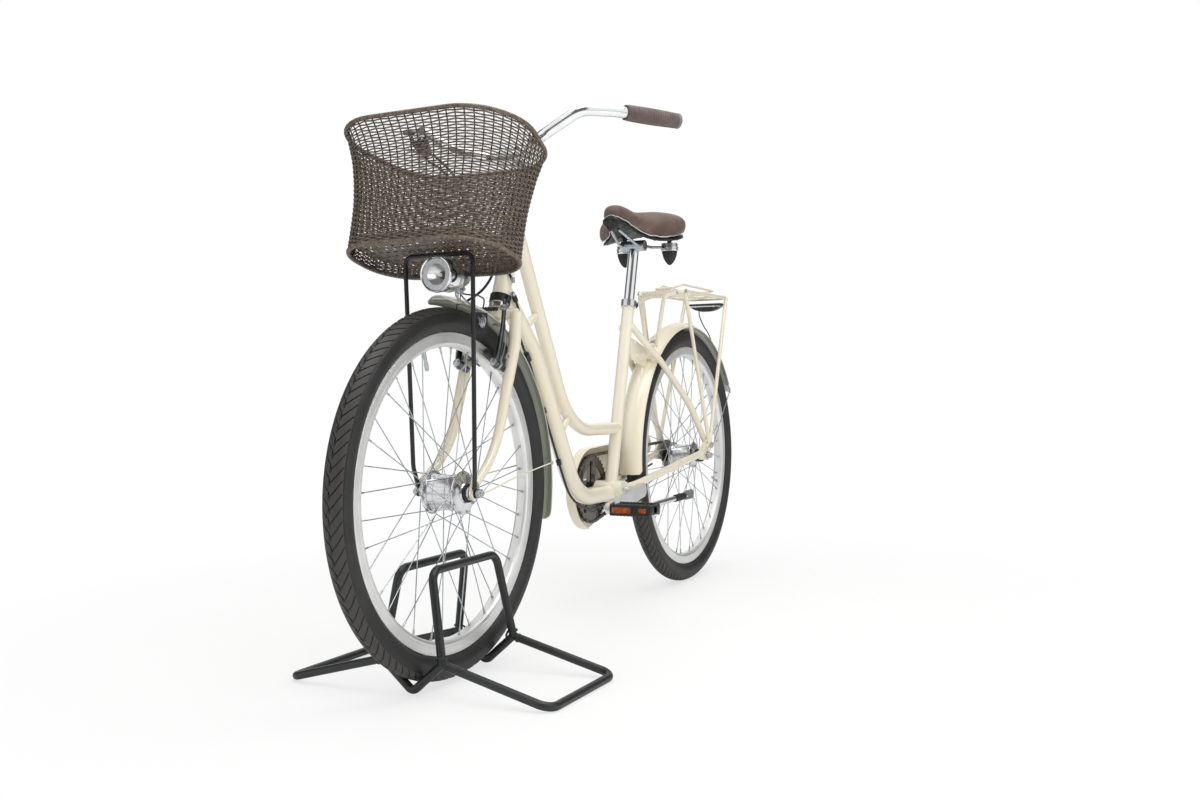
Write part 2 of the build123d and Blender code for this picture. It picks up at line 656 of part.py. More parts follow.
# ---------------------------------------------------------------- saddle
def make_saddle():
    post_top = on_seat_tube(SEAT_TUBE_LENGTH + SEATPOST_SHOWING)
    post = rod(on_seat_tube(SEAT_TUBE_LENGTH - SEATPOST_INSERT), post_top, SEATPOST_RADIUS)

    rear = post_top.X - SADDLE_LENGTH * 0.46
    # share of the length from the back, share of the full width, height, drop of the middle below the top
    stations = [
        (0.00, 0.60, 26.0, 34.0),
        (0.10, 0.92, 60.0, 36.0),
        (0.32, 1.00, 72.0, 38.0),
        (0.55, 0.62, 62.0, 36.0),
        (0.78, 0.34, 48.0, 30.0),
        (0.96, 0.24, 40.0, 26.0),
        (1.00, 0.12, 18.0, 24.0),
    ]
    sections = []
    for share, width, height, drop in stations:
        middle = Vector(rear + SADDLE_LENGTH * share, 0, SADDLE_TOP - drop)
        plane = Plane(origin=middle, x_dir=(0, 1, 0), z_dir=(1, 0, 0))
        sections.append(plane * Ellipse(SADDLE_WIDTH / 2 * width, height / 2))
    saddle = save("saddle", loft(sections))

    rail_z = SADDLE_TOP - SADDLE_RAIL_DROP
    spring_x = rear + 40
    spring_y = 60.0
    springs = []
    frame = across(Vector(post_top.X, 0, rail_z), 13, -30, 30)
    frame = frame + rod(post_top, Vector(post_top.X, 0, rail_z), 10)
    for side in (-1, 1):
        rail = [
            (spring_x, side * spring_y, rail_z),
            (rear + 70, side * 24, rail_z),
            (post_top.X + 34, side * 22, rail_z),
            (rear + 226, side * 10, SADDLE_TOP - 60),
        ]
        frame = frame + bent_rod(rail, [16, 40], 3.5)
        seat = Vector(spring_x, side * spring_y, rail_z - 4)
        frame = frame + rod(seat, seat + Vector(0, 0, 14), 20)
        springs.append(rod(seat, seat - Vector(0, 0, SPRING_LENGTH), 15, 6))
    save("saddle_frame", frame - saddle - post)
    save("saddle_springs", Compound(children=springs))
    save("seatpost", post)


# ---------------------------------------------------------------- drive
def make_chain():
    rear = (REAR_AXLE.X, REAR_AXLE.Z)
    front = (BB.X, BB.Z)
    half = CHAIN_HEIGHT / 2
    outer = [(*front, CHAINRING_RADIUS + half), (*rear, SPROCKET_RADIUS + half)]
    inner = [(*front, CHAINRING_RADIUS - half), (*rear, SPROCKET_RADIUS - half)]
    inside = hull_plate(inner, -CHAINRING_OFFSET, CHAIN_WIDTH + 2)
    save("chain", hull_plate(outer, -CHAINRING_OFFSET, CHAIN_WIDTH) - inside)


def make_chain_guard():
    """A cover plate outside the chain with a flange over the front and the upper run."""
    rear_end = (BB.X - 361, BB.Z + 82)
    rear_radius = 24.0
    cover_radius = CHAINRING_RADIUS + COVER_MARGIN
    plate_y = -COVER_OFFSET + COVER_WALL / 2
    flange_y = -COVER_OFFSET + COVER_FLANGE / 2
    outer = [(BB.X, BB.Z, cover_radius), (*rear_end, rear_radius)]
    inner = [(BB.X, BB.Z, cover_radius - COVER_WALL), (*rear_end, rear_radius - COVER_WALL)]
    plate = hull_plate(outer, plate_y, COVER_WALL)
    flange = hull_plate(outer, flange_y, COVER_FLANGE) - hull_plate(inner, flange_y, COVER_FLANGE + 2)
    open_side = [(24, -180), (24, -18), (-346, 64), (-346, 220), (-491, 220), (-491, -180)]
    opening = side_plate([(BB.X + x, BB.Z + z) for x, z in open_side], flange_y, COVER_FLANGE + 4)
    stay = chainstay(-1)
    tab = across(BB + Vector(-291, 0, 38), 4, -COVER_OFFSET + COVER_WALL, -56) - stay
    guard = plate + (flange - opening) + tab
    save("chain_guard", guard - across(BB, SPINDLE_RADIUS + 14, -COVER_OFFSET - 1, 0) - stay)


def make_cranks():
    angle = radians(CRANK_ANGLE)
    reach = Vector(CRANK_LENGTH * cos(angle), 0, CRANK_LENGTH * sin(angle))
    pedal_inner = CRANK_OFFSET + CRANK_THICKNESS / 2 + PEDAL_GAP
    ring_half = CHAINRING_THICKNESS / 2
    boss_radius = 2 * SPINDLE_RADIUS
    shape = across(BB, SPINDLE_RADIUS, -CRANK_OFFSET, CRANK_OFFSET)
    for side, name in ((1, "left_pedal"), (-1, "right_pedal")):
        end = BB + reach * side
        ends = [(BB.X, BB.Z, boss_radius), (end.X, end.Z, 12)]
        arm = hull_plate(ends, side * CRANK_OFFSET, CRANK_THICKNESS)
        axle_end = side * (pedal_inner + PEDAL_LENGTH - 6)
        shape = shape + arm + across(end, PEDAL_AXLE_RADIUS, side * CRANK_OFFSET, axle_end)

        middle = side * (pedal_inner + PEDAL_LENGTH / 2)
        body = Pos(end.X, middle, end.Z) * Box(PEDAL_WIDTH, PEDAL_LENGTH, PEDAL_THICKNESS)
        for window in (-1, 1):
            place = Pos(end.X + window * 18, middle, end.Z)
            body = body - place * Box(16, PEDAL_LENGTH - 24, PEDAL_THICKNESS + 2)
        bore = across(end, PEDAL_AXLE_RADIUS + RUNNING_FIT, side * CRANK_OFFSET, axle_end + side)
        save(name, body - bore)
    boss = across(BB, boss_radius, -CRANK_OFFSET, -CHAINRING_OFFSET + ring_half)
    save("cranks", shape + boss)

    root = CHAINRING_RADIUS - CHAIN_HEIGHT / 2 - CHAIN_CLEARANCE
    ring = across(BB, root, -CHAINRING_OFFSET - ring_half, -CHAINRING_OFFSET + ring_half)
    ring = ring - across(BB, boss_radius, -CHAINRING_OFFSET - ring_half, -CHAINRING_OFFSET + ring_half)
    openings = 5
    for index in range(openings):
        hole = around(BB, 42, 360 * (index + 0.5) / openings)
        ring = ring - across(hole, 15, -CHAINRING_OFFSET - ring_half, -CHAINRING_OFFSET + ring_half)
    save("chainring", ring)


# ---------------------------------------------------------------- kickstand
def make_kickstand():
    plate = Pos(*(BB + Vector(-59, 0, -12))) * Box(60, 62, 6)
    lug = Pos(KICK_PIVOT.X, 6, KICK_PIVOT.Z + 5) * Box(36, 18, 36)
    pin = across(KICK_PIVOT, KICK_PIVOT_RADIUS, 0, KICK_PIVOT.Y + 8)
    stays = chainstay(-1) + chainstay(1)
    save("kickstand_bracket", plate + lug + pin - stays)

    foot = KICK_PIVOT + Vector(-256, 44, -6)
    leg = bent_rod([KICK_PIVOT, KICK_PIVOT + Vector(-46, 10, -18), foot], [40], KICK_LEG_RADIUS)
    boss = across(KICK_PIVOT, 13, 16, KICK_PIVOT.Y + 10)
    lug_side = Pos(KICK_PIVOT.X, 7.6, KICK_PIVOT.Z) * Box(80, 16, 80)
    bore = across(KICK_PIVOT, KICK_PIVOT_RADIUS + RUNNING_FIT, -10, KICK_PIVOT.Y + 20)
    pad_start = foot + Vector(32, -5, 1)
    leg = leg + boss - lug_side - bore
    pad = rod(pad_start, foot + Vector(-8, 1, 0), 9)
    save("kickstand_leg", leg - pad)
    save("kickstand_foot", pad)


# ---------------------------------------------------------------- rack and lights
def make_rack():
    half = RACK_HALF_WIDTH
    narrow = 33.0
    foot_y = REAR_OUTSIDE + 7
    front = [(RACK_SHOULDER, half, RACK_TOP), (RACK_FRONT, narrow, RACK_TOP - 16)]
    rear = [(RACK_REAR, half, RACK_TOP), (RACK_REAR, -half, RACK_TOP)]
    strut_foot = around(REAR_AXLE, GUARD_RADIUS + 1, 55)
    path = [
        strut_foot + Vector(0, 14, 0),
        front[1],
        front[0],
        *rear,
        flip(Vector(front[0])),
        flip(Vector(front[1])),
        strut_foot - Vector(0, 14, 0),
    ]
    rack = bent_rod(path, [20, 60, 25, 25, 60, 20], RACK_TUBE_RADIUS)
    bar_radius = RACK_TUBE_RADIUS - 1
    for x in (-480, -570, -660):
        rack = rack + across(Vector(x, 0, RACK_TOP), bar_radius, -half, half)
    rack = rack + across(Vector(RACK_SHOULDER, 0, RACK_TOP), bar_radius, -half, half)
    rack = rack + across(Vector(*front[1]), bar_radius, -narrow, narrow)
    rack = rack + rod((RACK_SHOULDER, 0, RACK_TOP), (RACK_REAR, 0, RACK_TOP), bar_radius)
    for side in (-1, 1):
        foot = Vector(REAR_AXLE.X - 4, side * foot_y, REAR_AXLE.Z + 26)
        rack = rack + rod(foot, (RACK_SHOULDER - 6, side * half, RACK_TOP), RACK_TUBE_RADIUS)
        rack = rack + rod(foot, (RACK_REAR + 8, side * half, RACK_TOP), RACK_TUBE_RADIUS)
        rack = rack + across(foot, 8, side * REAR_OUTSIDE, side * foot_y)
    clamp_ear = on_seat_tube(SEAT_TUBE_LENGTH - 6) + Vector(-SEAT_TUBE_RADIUS - 14, 0, 0)
    rack = rack + rod(clamp_ear, (RACK_FRONT, 0, RACK_TOP - 16), bar_radius - 0.5)
    guard_space = across(REAR_AXLE, GUARD_RADIUS + 0.1, -GUARD_WIDTH / 2, GUARD_WIDTH / 2)
    ear_space = across(on_seat_tube(SEAT_TUBE_LENGTH - 6) + Vector(-SEAT_TUBE_RADIUS - 8, 0, 0), 5.1, -12, 12)
    save("rear_rack", rack - guard_space - ear_space)

    spring_z = RACK_TOP + RACK_TUBE_RADIUS + 3
    spring = [
        (RACK_SHOULDER - 8, 14, spring_z),
        (-500, 30, spring_z + 14),
        (-700, 40, spring_z + 8),
        (-700, -40, spring_z + 8),
        (-500, -30, spring_z + 14),
        (RACK_SHOULDER - 8, -14, spring_z),
    ]
    hinge = across(Vector(RACK_SHOULDER - 6, 0, spring_z), 4, -20, 20)
    top_space = across(Vector(RACK_SHOULDER, 0, RACK_TOP), bar_radius, -half, half)
    save("rack_spring", bent_rod(spring, [30, 14, 14, 30], 3) + hinge - top_space)

    lamp_x = RACK_REAR + 2
    lamp_z = RACK_TOP - 24
    housing = Pos(lamp_x, 0, lamp_z + 5) * Box(30, 92, 10)
    save("tail_light", housing + Pos(lamp_x, 0, lamp_z - 6) * Box(26, 88, 12))
    wire = [
        (lamp_x + 8, 0, lamp_z - 12.4),
        (lamp_x + 10, 1, lamp_z - 34),
        (lamp_x + 4, 2, lamp_z - 60),
        around(REAR_AXLE, GUARD_RADIUS + WIRE_RADIUS + 1, 122, 2),
    ]
    save("tail_light_wire", cable(wire, WIRE_RADIUS))


# ---------------------------------------------------------------- basket, carrier and headlamp
def basket_place(height, ahead=0.0):
    """A place in the basket's middle plane, up its own leaning axis and ahead of it."""
    tilt = radians(BASKET_TILT)
    up = Vector(-sin(tilt), 0, cos(tilt))
    forward = Vector(cos(tilt), 0, sin(tilt))
    return Vector(BASKET_X, 0, BASKET_BOTTOM) + up * height + forward * ahead


def basket_layer(height, flare, inset):
    """The basket's outline at a height: the flare runs from 0 at its foot to 1 at its rim."""
    depth = 188 + 84 * flare - 2 * inset
    front_width = 322 + 104 * flare - 2 * inset
    back_width = 322 + 6 * flare - 30 * flare ** 2 - 2 * inset
    radius = 84 + 22 * flare - inset
    corners = [
        (depth / 2, -front_width / 2),
        (depth / 2, front_width / 2),
        (-depth / 2, back_width / 2),
        (-depth / 2, -back_width / 2),
    ]
    face = make_face(Polyline(*corners, close=True))
    face = fillet(face.vertices(), radius)
    tilt = radians(BASKET_TILT)
    forward = (cos(tilt), 0, sin(tilt))
    upward = (-sin(tilt), 0, cos(tilt))
    return Plane(origin=basket_place(height), x_dir=forward, z_dir=upward) * face


def make_basket():
    # share of the height, share of the flare
    profile = [(0.0, 0.0), (0.4, 0.04), (0.7, 0.3), (0.88, 0.65), (1.0, 1.0)]
    outer = loft([basket_layer(BASKET_HEIGHT * share, flare, 0) for share, flare in profile])
    floor = BASKET_FOOT + BASKET_FLOOR
    inner_layers = [basket_layer(floor, 0, BASKET_WALL)]
    inner_layers += [basket_layer(BASKET_HEIGHT * share, flare, BASKET_WALL) for share, flare in profile[1:]]
    foot = loft([basket_layer(0, 0, BASKET_WALL), basket_layer(BASKET_FOOT, 0, BASKET_WALL)])
    save("basket", outer - loft(inner_layers) - foot)


def carrier_rod(side):
    """The carrier's upright on one side: its foot on the axle and its top under the basket."""
    foot = FRONT_AXLE + Vector(5, side * (FRONT_OUTSIDE + 1.5 * EYE_THICKNESS), 5)
    knee = foot + Vector(8, side * 6, 40)
    return foot, knee, Vector(CARRIER_X, side * CARRIER_HALF_WIDTH, carrier_height())


def carrier_height():
    """The height of the carrier's top bar, so that the basket's floor rests on it."""
    tilt = radians(BASKET_TILT)
    floor = basket_place(BASKET_FOOT)
    return floor.Z + (CARRIER_X - floor.X) * tan(tilt) - CARRIER_RADIUS / cos(tilt) - 0.1


def lamp_bolt():
    """The bolt through the tab on the left upright, which holds the headlamp's two wires."""
    foot, knee, top = carrier_rod(1)
    return knee + (top - knee) * LAMP_BOLT_SHARE - Vector(27, 3, 0)


def make_carrier():
    left_foot, left_knee, left_top = carrier_rod(1)
    right_foot, right_knee, right_top = carrier_rod(-1)
    points = [left_foot, left_knee, left_top, right_top, right_knee, right_foot]
    shape = bent_rod(points, [60, 14, 14, 60], CARRIER_RADIUS)
    flat = FRONT_OUTSIDE + EYE_THICKNESS
    for side in (-1, 1):
        inboard = across(FRONT_AXLE, 60, side * (flat - 20), side * flat)
        outboard = across(FRONT_AXLE, EYE_RADIUS + 2, side * (flat + EYE_THICKNESS), side * (flat + 30))
        shape = shape - inboard - outboard + eye(FRONT_AXLE, side, flat)
    tab = Pos(*(lamp_bolt() + Vector(2, 0, 0))) * Box(50, LAMP_TAB_THICKNESS, 36)
    save("basket_carrier", shape + tab - across(FRONT_AXLE, AXLE_RADIUS, -flat - 10, flat + 10))


def make_lamp():
    front = Vector(*LAMP_FRONT)
    # back from the front ring, radius
    profile = [(0, 29), (-22, 29.5), (-52, 25), (-80, 16), (-97, 6)]
    outline = Spline(*[front + Vector(x, 0, radius) for x, radius in profile])
    rear_end = front - Vector(99, 0, 0)
    edges = [Line(front, outline @ 0), outline, Line(outline @ 1, rear_end), Line(rear_end, front)]
    body = revolve(make_face(edges), Axis(front, (1, 0, 0)))
    ring_base = front + Vector(1, 0, 0)
    ring_front = front + Vector(8, 0, 0)
    ring = rod(front, ring_front, LAMP_RADIUS) - rod(ring_base, ring_front, LAMP_RADIUS - 4)
    joint = front + Vector(-62, 3, -24)
    knob = rod(joint + Vector(0, 0, 8), joint - Vector(0, 0, 4), 6)
    lens = rod(front, ring_front - Vector(1, 0, 0), LAMP_RADIUS - 4)
    save("headlamp", body + ring + knob + lens)

    bolt = lamp_bolt()
    inner_face = bolt.Y - LAMP_TAB_THICKNESS / 2
    outer_face = bolt.Y + LAMP_TAB_THICKNESS / 2
    arms = across(bolt, 9, outer_face, outer_face + 3.5) + across(bolt, 7, inner_face - 3.5, inner_face)
    for step in (-5, 5):
        offset = Vector(step, 0, 0)
        arms = arms + rod(bolt + offset - Vector(0, 4, 0), joint + offset - Vector(0, 0, 2), 2)
    save("lamp_bracket", arms - body - knob - across(bolt, 30, inner_face, outer_face))

    wire = [
        joint + Vector(-8, -2, -4),
        (514, 20, 689),
        (468, 10, 692),
        (428, 0, 688),
        (404, -14, 683),
        (385.3, -29, 671.2),
    ]
    save("lamp_wire", cable(wire, WIRE_RADIUS))


# ---------------------------------------------------------------- front brake and cables
def make_front_brake():
    ahead = 38.0
    pivot_height = 252.0
    top_height = 373.0
    wire_height = 362.0
    arms = []
    pads = []
    for side in (-1, 1):
        pivot = on_steering(pivot_height, ahead, side * 40)
        top = on_steering(top_height, ahead, side * 37)
        arm = rod(pivot, top, 7, 5)
        boss_start = on_steering(pivot_height, 4, side * BLADE_SPREAD)
        boss = rod(boss_start, on_steering(pivot_height, ahead, side * 42), 7)
        blade_foot = on_steering(BLADE_RAKE_START, 0, side * BLADE_SPREAD)
        blade_top = on_steering(CROWN_BOTTOM, 0, side * BLADE_SPREAD)
        blade_space = rod(blade_foot, blade_top, BLADE_TOP_RADIUS + 0.1)
        arms.append(arm + (boss - blade_space) + rod(pivot, pivot + STEER_AHEAD * 10, 9))
        pad_place = around(FRONT_AXLE, RIM_EDGE_RADIUS - 11, 118)
        pad_centre = pad_place + Vector(0, side * (RIM_WIDTH / 2 + 7.5), 0)
        block = Plane(origin=pad_centre, x_dir=STEER_AHEAD, z_dir=STEER_UP) * Box(56, 11, 10)
        stud = rod(pad_centre, pad_centre + Vector(0, side * 14, 0), 4)
        pads.append(block + stud - arm)
    save("front_brake", Compound(children=arms))
    boot = rod(on_steering(wire_height, ahead, -31), on_steering(wire_height, ahead, 31), 4.5)
    save("brake_rubber", Compound(children=[*pads, boot - arms[0] - arms[1]]))

    noodle_end = on_steering(wire_height, ahead, -43)
    route = [
        (302, -212, 1002),
        (341, -176, 992),
        (368, -136, 972),
        (382, -96, 940),
        (387, -64, 896),
        (385, -40, 850),
        (380, -18, 806),
        (386, 2, 766),
        (398, 2, 732),
        (404, -18, 704),
        noodle_end + Vector(2, -14, 10),
        noodle_end,
    ]
    save("brake_cable", cable(route, HOUSING_RADIUS))
    shifter_route = [
        (288, -224, 1000),
        (322, -192, 979),
        (350, -150, 962),
        (368, -108, 930),
        (374, -72, 886),
        (373, -44, 838),
        (366, -18, 792),
        (364, 10, 756),
        (362, 26, 722),
    ]
    save("shifter_cable", cable(shifter_route, HOUSING_RADIUS))


def make_gear_cable():
    """The gear cable's housing down the frame, with its stop, adjuster and guides."""
    route = [
        (364, 26, 700),
        (350, 26, 681),
        (332.5, 21, 666),
        (327.5, 12, 645),
        (316, 12, 618),
        (290, 6, 592),
        (260, 2, 566),
        (237, 0, 530),
        (124, 0, 329),
        (99, 0, 290),
        (69, 1, 267),
        (34, 2, 252),
        (-4, 3, 246),
        (-50, 2, 246),
        (-100, -6, 249),
        (-146, -18, 254),
        (-200, -28, 259),
        (-252, -37, 276),
        (-312, -43.5, 289),
        (-486, -59.5, 310),
    ]
    save("gear_cable", cable(route, HOUSING_RADIUS))
    places = [Vector(place) for place in route]
    lower_solid = bent_rod(lower_tube_points(), LOWER_TUBE_BENDS, LOWER_TUBE_RADIUS)
    bore = HOUSING_RADIUS + 0.1
    head_outer = rod(on_steering(HEAD_TUBE_BOTTOM), on_steering(HEAD_TUBE_TOP), HEAD_TUBE_RADIUS)
    band_low = on_steering(HEAD_TUBE_BOTTOM + 3)
    band_top = on_steering(HEAD_TUBE_BOTTOM + 19)
    band = sleeve(band_low, band_top, HEAD_TUBE_RADIUS + 2.5, HEAD_TUBE_RADIUS)
    band_middle = on_steering(HEAD_TUBE_BOTTOM + 11, 0, HEAD_TUBE_RADIUS + 2)
    band = band + (rod(band_middle, band_middle + STEER_AHEAD * 12, 5) - head_outer)
    guides = [band - lower_solid]
    for share in (0.3, 0.85):
        middle = places[7] + (places[8] - places[7]) * share
        half = (places[8] - places[7]).normalized() * 5
        guides.append(sleeve(middle - half, middle + half, 5.5, bore) - lower_solid)
    middle = (places[5] + places[6]) * 0.5
    half = (places[6] - places[5]).normalized() * 9
    guides.append(sleeve(middle - half, middle + half, 7, bore))
    middle = (places[0] + places[1]) * 0.5
    half = (places[1] - places[0]).normalized() * 6
    guides.append(sleeve(middle - half, middle + half, 5, bore) - head_outer - lower_solid)
    save("cable_guides", Compound(children=guides))


# ---------------------------------------------------------------- wheel stand
def make_stand():
    radius = STAND_TUBE_RADIUS
    tyre_side = TYRE_WIDTH / 2 + STAND_TYRE_GAP + radius
    half = STAND_LENGTH / 2 - radius
    hoop_half = half - STAND_HOOP_INSET
    centre = FRONT_AXLE.X
    bars = []
    for side in (-1, 1):
        hoop = [
            (centre + half, side * STAND_KNEE, STAND_KNEE),
            (centre + hoop_half, side * tyre_side, STAND_HOOP_HEIGHT),
            (centre - hoop_half, side * tyre_side, STAND_HOOP_HEIGHT),
            (centre - half, side * STAND_KNEE, STAND_KNEE),
        ]
        foot = [
            (centre + half, side * STAND_KNEE, STAND_KNEE),
            (centre + half, side * (STAND_FOOT_REACH - radius), radius),
            (centre - half, side * (STAND_FOOT_REACH - radius), radius),
            (centre - half, side * STAND_KNEE, STAND_KNEE),
        ]
        bars += [bent_rod(hoop, [22, 22], radius), bent_rod(foot, [24, 24], radius)]
    for end in (-1, 1):
        x = centre + end * half
        cradle = [(x, -STAND_KNEE, STAND_KNEE), (x, 0, radius + 1), (x, STAND_KNEE, STAND_KNEE)]
        bars.append(bent_rod(cradle, [12], radius))
        bars += [Pos(x, side * STAND_KNEE, STAND_KNEE) * Sphere(radius) for side in (-1, 1)]
    shape = bars[0]
    for bar in bars[1:]:
        shape = shape + bar
    save("wheel_stand", shape)


os.makedirs("parts", exist_ok=True)
make_wheels()
make_fork()
make_handlebar()
make_front_mudguard()
make_rear_mudguard()
make_frame()
make_saddle()
make_chain()
make_chain_guard()
make_cranks()
make_kickstand()
make_rack()
make_basket()
make_carrier()
make_lamp()
make_front_brake()
make_gear_cable()
make_stand()
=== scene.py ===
# %% [markdown]
# # A step-through city bicycle, its front wheel in a floor stand
# The tubes, wheels and joints of this bicycle are already packed as solid parts. This lesson gives them
# their looks: it paints what has the right shape, and replaces what needs finer shape than a turned or
# sawn solid has, such as the tyres, the laced spokes, the woven basket and the padded saddle.
# Everything is in metres: +X is forwards, +Y the rider's left, +Z up.

import json
import math

import bmesh
import bpy
import numpy as np
from mathutils import Matrix, Vector
from mathutils.bvhtree import BVHTree


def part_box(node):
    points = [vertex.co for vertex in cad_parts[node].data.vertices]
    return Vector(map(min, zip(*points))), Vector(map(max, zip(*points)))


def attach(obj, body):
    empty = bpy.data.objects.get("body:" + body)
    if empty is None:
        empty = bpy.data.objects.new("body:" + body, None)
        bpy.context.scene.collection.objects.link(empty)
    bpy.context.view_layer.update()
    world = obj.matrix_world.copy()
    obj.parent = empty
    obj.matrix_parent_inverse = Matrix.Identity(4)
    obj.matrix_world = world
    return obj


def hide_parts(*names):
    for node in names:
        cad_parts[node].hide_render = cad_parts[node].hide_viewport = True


scene = bpy.context.scene
scene.view_settings.view_transform = "Standard"
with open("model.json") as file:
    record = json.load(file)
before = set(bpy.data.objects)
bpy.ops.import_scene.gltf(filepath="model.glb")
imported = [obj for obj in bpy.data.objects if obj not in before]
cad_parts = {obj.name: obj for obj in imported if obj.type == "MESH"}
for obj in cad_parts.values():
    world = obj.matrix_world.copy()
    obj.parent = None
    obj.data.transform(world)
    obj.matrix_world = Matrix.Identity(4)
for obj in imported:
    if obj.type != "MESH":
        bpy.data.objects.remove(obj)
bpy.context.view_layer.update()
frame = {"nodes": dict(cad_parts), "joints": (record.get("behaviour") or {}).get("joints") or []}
joints = {joint["name"]: joint for joint in frame["joints"]}

# %% [markdown]
# The joints say where things turn, so they also say where the wheels, the pedals and the steering are.
# A node's box gives its size. Places on the fork and the handlebar are easiest to give along the leaning
# steering axis, and places on a wheel by a radius and an angle about its axle.


# %% Places that the new pieces hang on
def joint_place(name):
    """The point that a joint turns about."""
    return np.array(joints[name]["pos_m"], float)


def node_box(name):
    """A node's lowest corner, highest corner and middle."""
    low, high = (np.array(corner, float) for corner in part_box(name))
    return low, high, (low + high) / 2


AHEAD, LEFT, UP = np.eye(3)
SIDES = (-1, 1)
FORK = "fork_and_stand"
FRONT_AXLE = joint_place("front_wheel_spin")
REAR_AXLE = joint_place("rear_wheel_spin")
CRANK_AXLE = joint_place("crank_spin")
STEER_UP = np.array(joints["steering"]["axis"], float)
STEER_AHEAD = np.array([STEER_UP[2], 0.0, -STEER_UP[0]])
STEER_FOOT = FRONT_AXLE - STEER_AHEAD * ((FRONT_AXLE - joint_place("steering")) @ STEER_AHEAD)


def on_steering(height, ahead=0.0, left=0.0):
    """A place given up the steering axis, ahead of it and to the left of it."""
    return STEER_FOOT + STEER_UP * height + STEER_AHEAD * ahead + LEFT * left


def around(axle, radius, angle, left=0.0):
    """Places at a radius and an angle in degrees, from ahead towards up, about an axle."""
    turn = np.radians(angle)
    return axle + np.stack(np.broadcast_arrays(radius * np.cos(turn), left, radius * np.sin(turn)), axis=-1)


print("wheelbase", round(float(FRONT_AXLE[0] - REAR_AXLE[0]), 4), "steering foot", STEER_FOOT.round(4))

# %% [markdown]
# ## Shapes from grids
# Nearly every surface here is a grid of points: rows one way, columns the other, with a quad between
# four neighbours. A tube is a circle carried along a path, a turned part is an outline carried round an
# axis. Writing each as whole numpy arrays keeps the shape readable as one formula.


# %% A grid of quads, and several grids as one
def grid(points, close_rows=False, close_columns=False):
    """Quads between neighbours of a (rows, columns, 3) grid. A closed way joins its end to its start."""
    rows, columns = points.shape[:2]
    index = np.arange(rows * columns).reshape(rows, columns)
    if close_rows:
        index = np.vstack([index, index[:1]])
    if close_columns:
        index = np.hstack([index, index[:, :1]])
    corners = [index[:-1, :-1], index[1:, :-1], index[1:, 1:], index[:-1, 1:]]
    return points.reshape(-1, 3), np.stack(corners, axis=-1).reshape(-1, 4)


def joined(*parts):
    """Several (points, quads) pairs as one: each part's quads count on from the points before it."""
    starts = np.cumsum([0] + [len(points) for points, _ in parts[:-1]])
    quads = [faces + start for (_, faces), start in zip(parts, starts)]
    return np.concatenate([points for points, _ in parts]), np.concatenate(quads)


def repeated(part, origins, xs, ys, zs):
    """A small part set down at many places: each place has an origin and three directions."""
    points, quads = part
    frames = np.stack([xs, ys, zs], axis=1)
    placed = origins[:, None] + np.einsum("pk,nkc->npc", points, frames)
    steps = np.arange(len(origins))[:, None, None] * len(points)
    return placed.reshape(-1, 3), (quads[None] + steps).reshape(-1, 4)


def unit(vectors):
    """Vectors brought to length one."""
    vectors = np.asarray(vectors, float)
    return vectors / np.linalg.norm(vectors, axis=-1, keepdims=True)


def mm(values):
    """Millimetres as metres: small sizes are easier to read in millimetres."""
    return np.asarray(values, float) / 1000


def capped(rings):
    """Closed rings in a row, with the first and the last drawn together at their middles."""
    first, last = (np.repeat(rings[end].mean(axis=0)[None, None], rings.shape[1], axis=1) for end in (0, -1))
    return np.concatenate([first, rings, last])


def circle(count):
    """Angles evenly round a circle, in radians."""
    return np.linspace(0, 2 * np.pi, count, endpoint=False)


# %% Tubes, turned parts, soft-edged blocks, plates and smooth lines
def tubes(paths, radius, sides=8, closed=False, reference=UP):
    """A circle of the radius, square to each path at each of its points, for (tubes, points, 3) paths at once.
    The radius may be one number, or one a point, or a (points, 2) pair for a flat strand's width and height."""
    paths = np.asarray(paths, float)
    if closed:
        along = unit(np.roll(paths, -1, axis=1) - np.roll(paths, 1, axis=1))
    else:
        along = unit(np.gradient(paths, axis=1))
    side = unit(np.cross(along, reference))
    over = np.cross(side, along)
    turn = circle(sides)[:, None]
    size = np.asarray(radius, float)
    if size.ndim < 2:
        size = np.stack([np.broadcast_to(size, paths.shape[1])] * 2, axis=1)
    wide, high = size[:, 0, None, None], size[:, 1, None, None]
    rings = paths[:, :, None] + wide * np.cos(turn) * side[:, :, None] + high * np.sin(turn) * over[:, :, None]
    if not closed:
        first, last = (np.repeat(paths[:, end][:, None, None], sides, axis=2) for end in (0, -1))
        rings = np.concatenate([first, rings, last], axis=1)
    one = grid(rings[0], closed, True)[1]
    steps = np.arange(len(rings))[:, None, None] * rings.shape[1] * sides
    return rings.reshape(-1, 3), (one[None] + steps).reshape(-1, 4)


def tube(path, radius, sides=12, closed=False, reference=UP):
    """One tube along one path."""
    return tubes(np.asarray(path, float)[None], radius, sides, closed, reference)


def lathe(outline, centre, axis, count=48):
    """An outline of (distance along the axis, radius) pairs, carried once round the axis."""
    outline = np.asarray(outline, float)
    axis = unit(axis)
    side = unit(np.cross(axis, UP if abs(axis[2]) < 0.9 else AHEAD))
    over = np.cross(side, axis)
    turn = circle(count)[None, :, None]
    spin = np.cos(turn) * side + np.sin(turn) * over
    points = np.asarray(centre) + outline[:, 0, None, None] * axis + outline[:, 1, None, None] * spin
    return grid(points, close_columns=True)


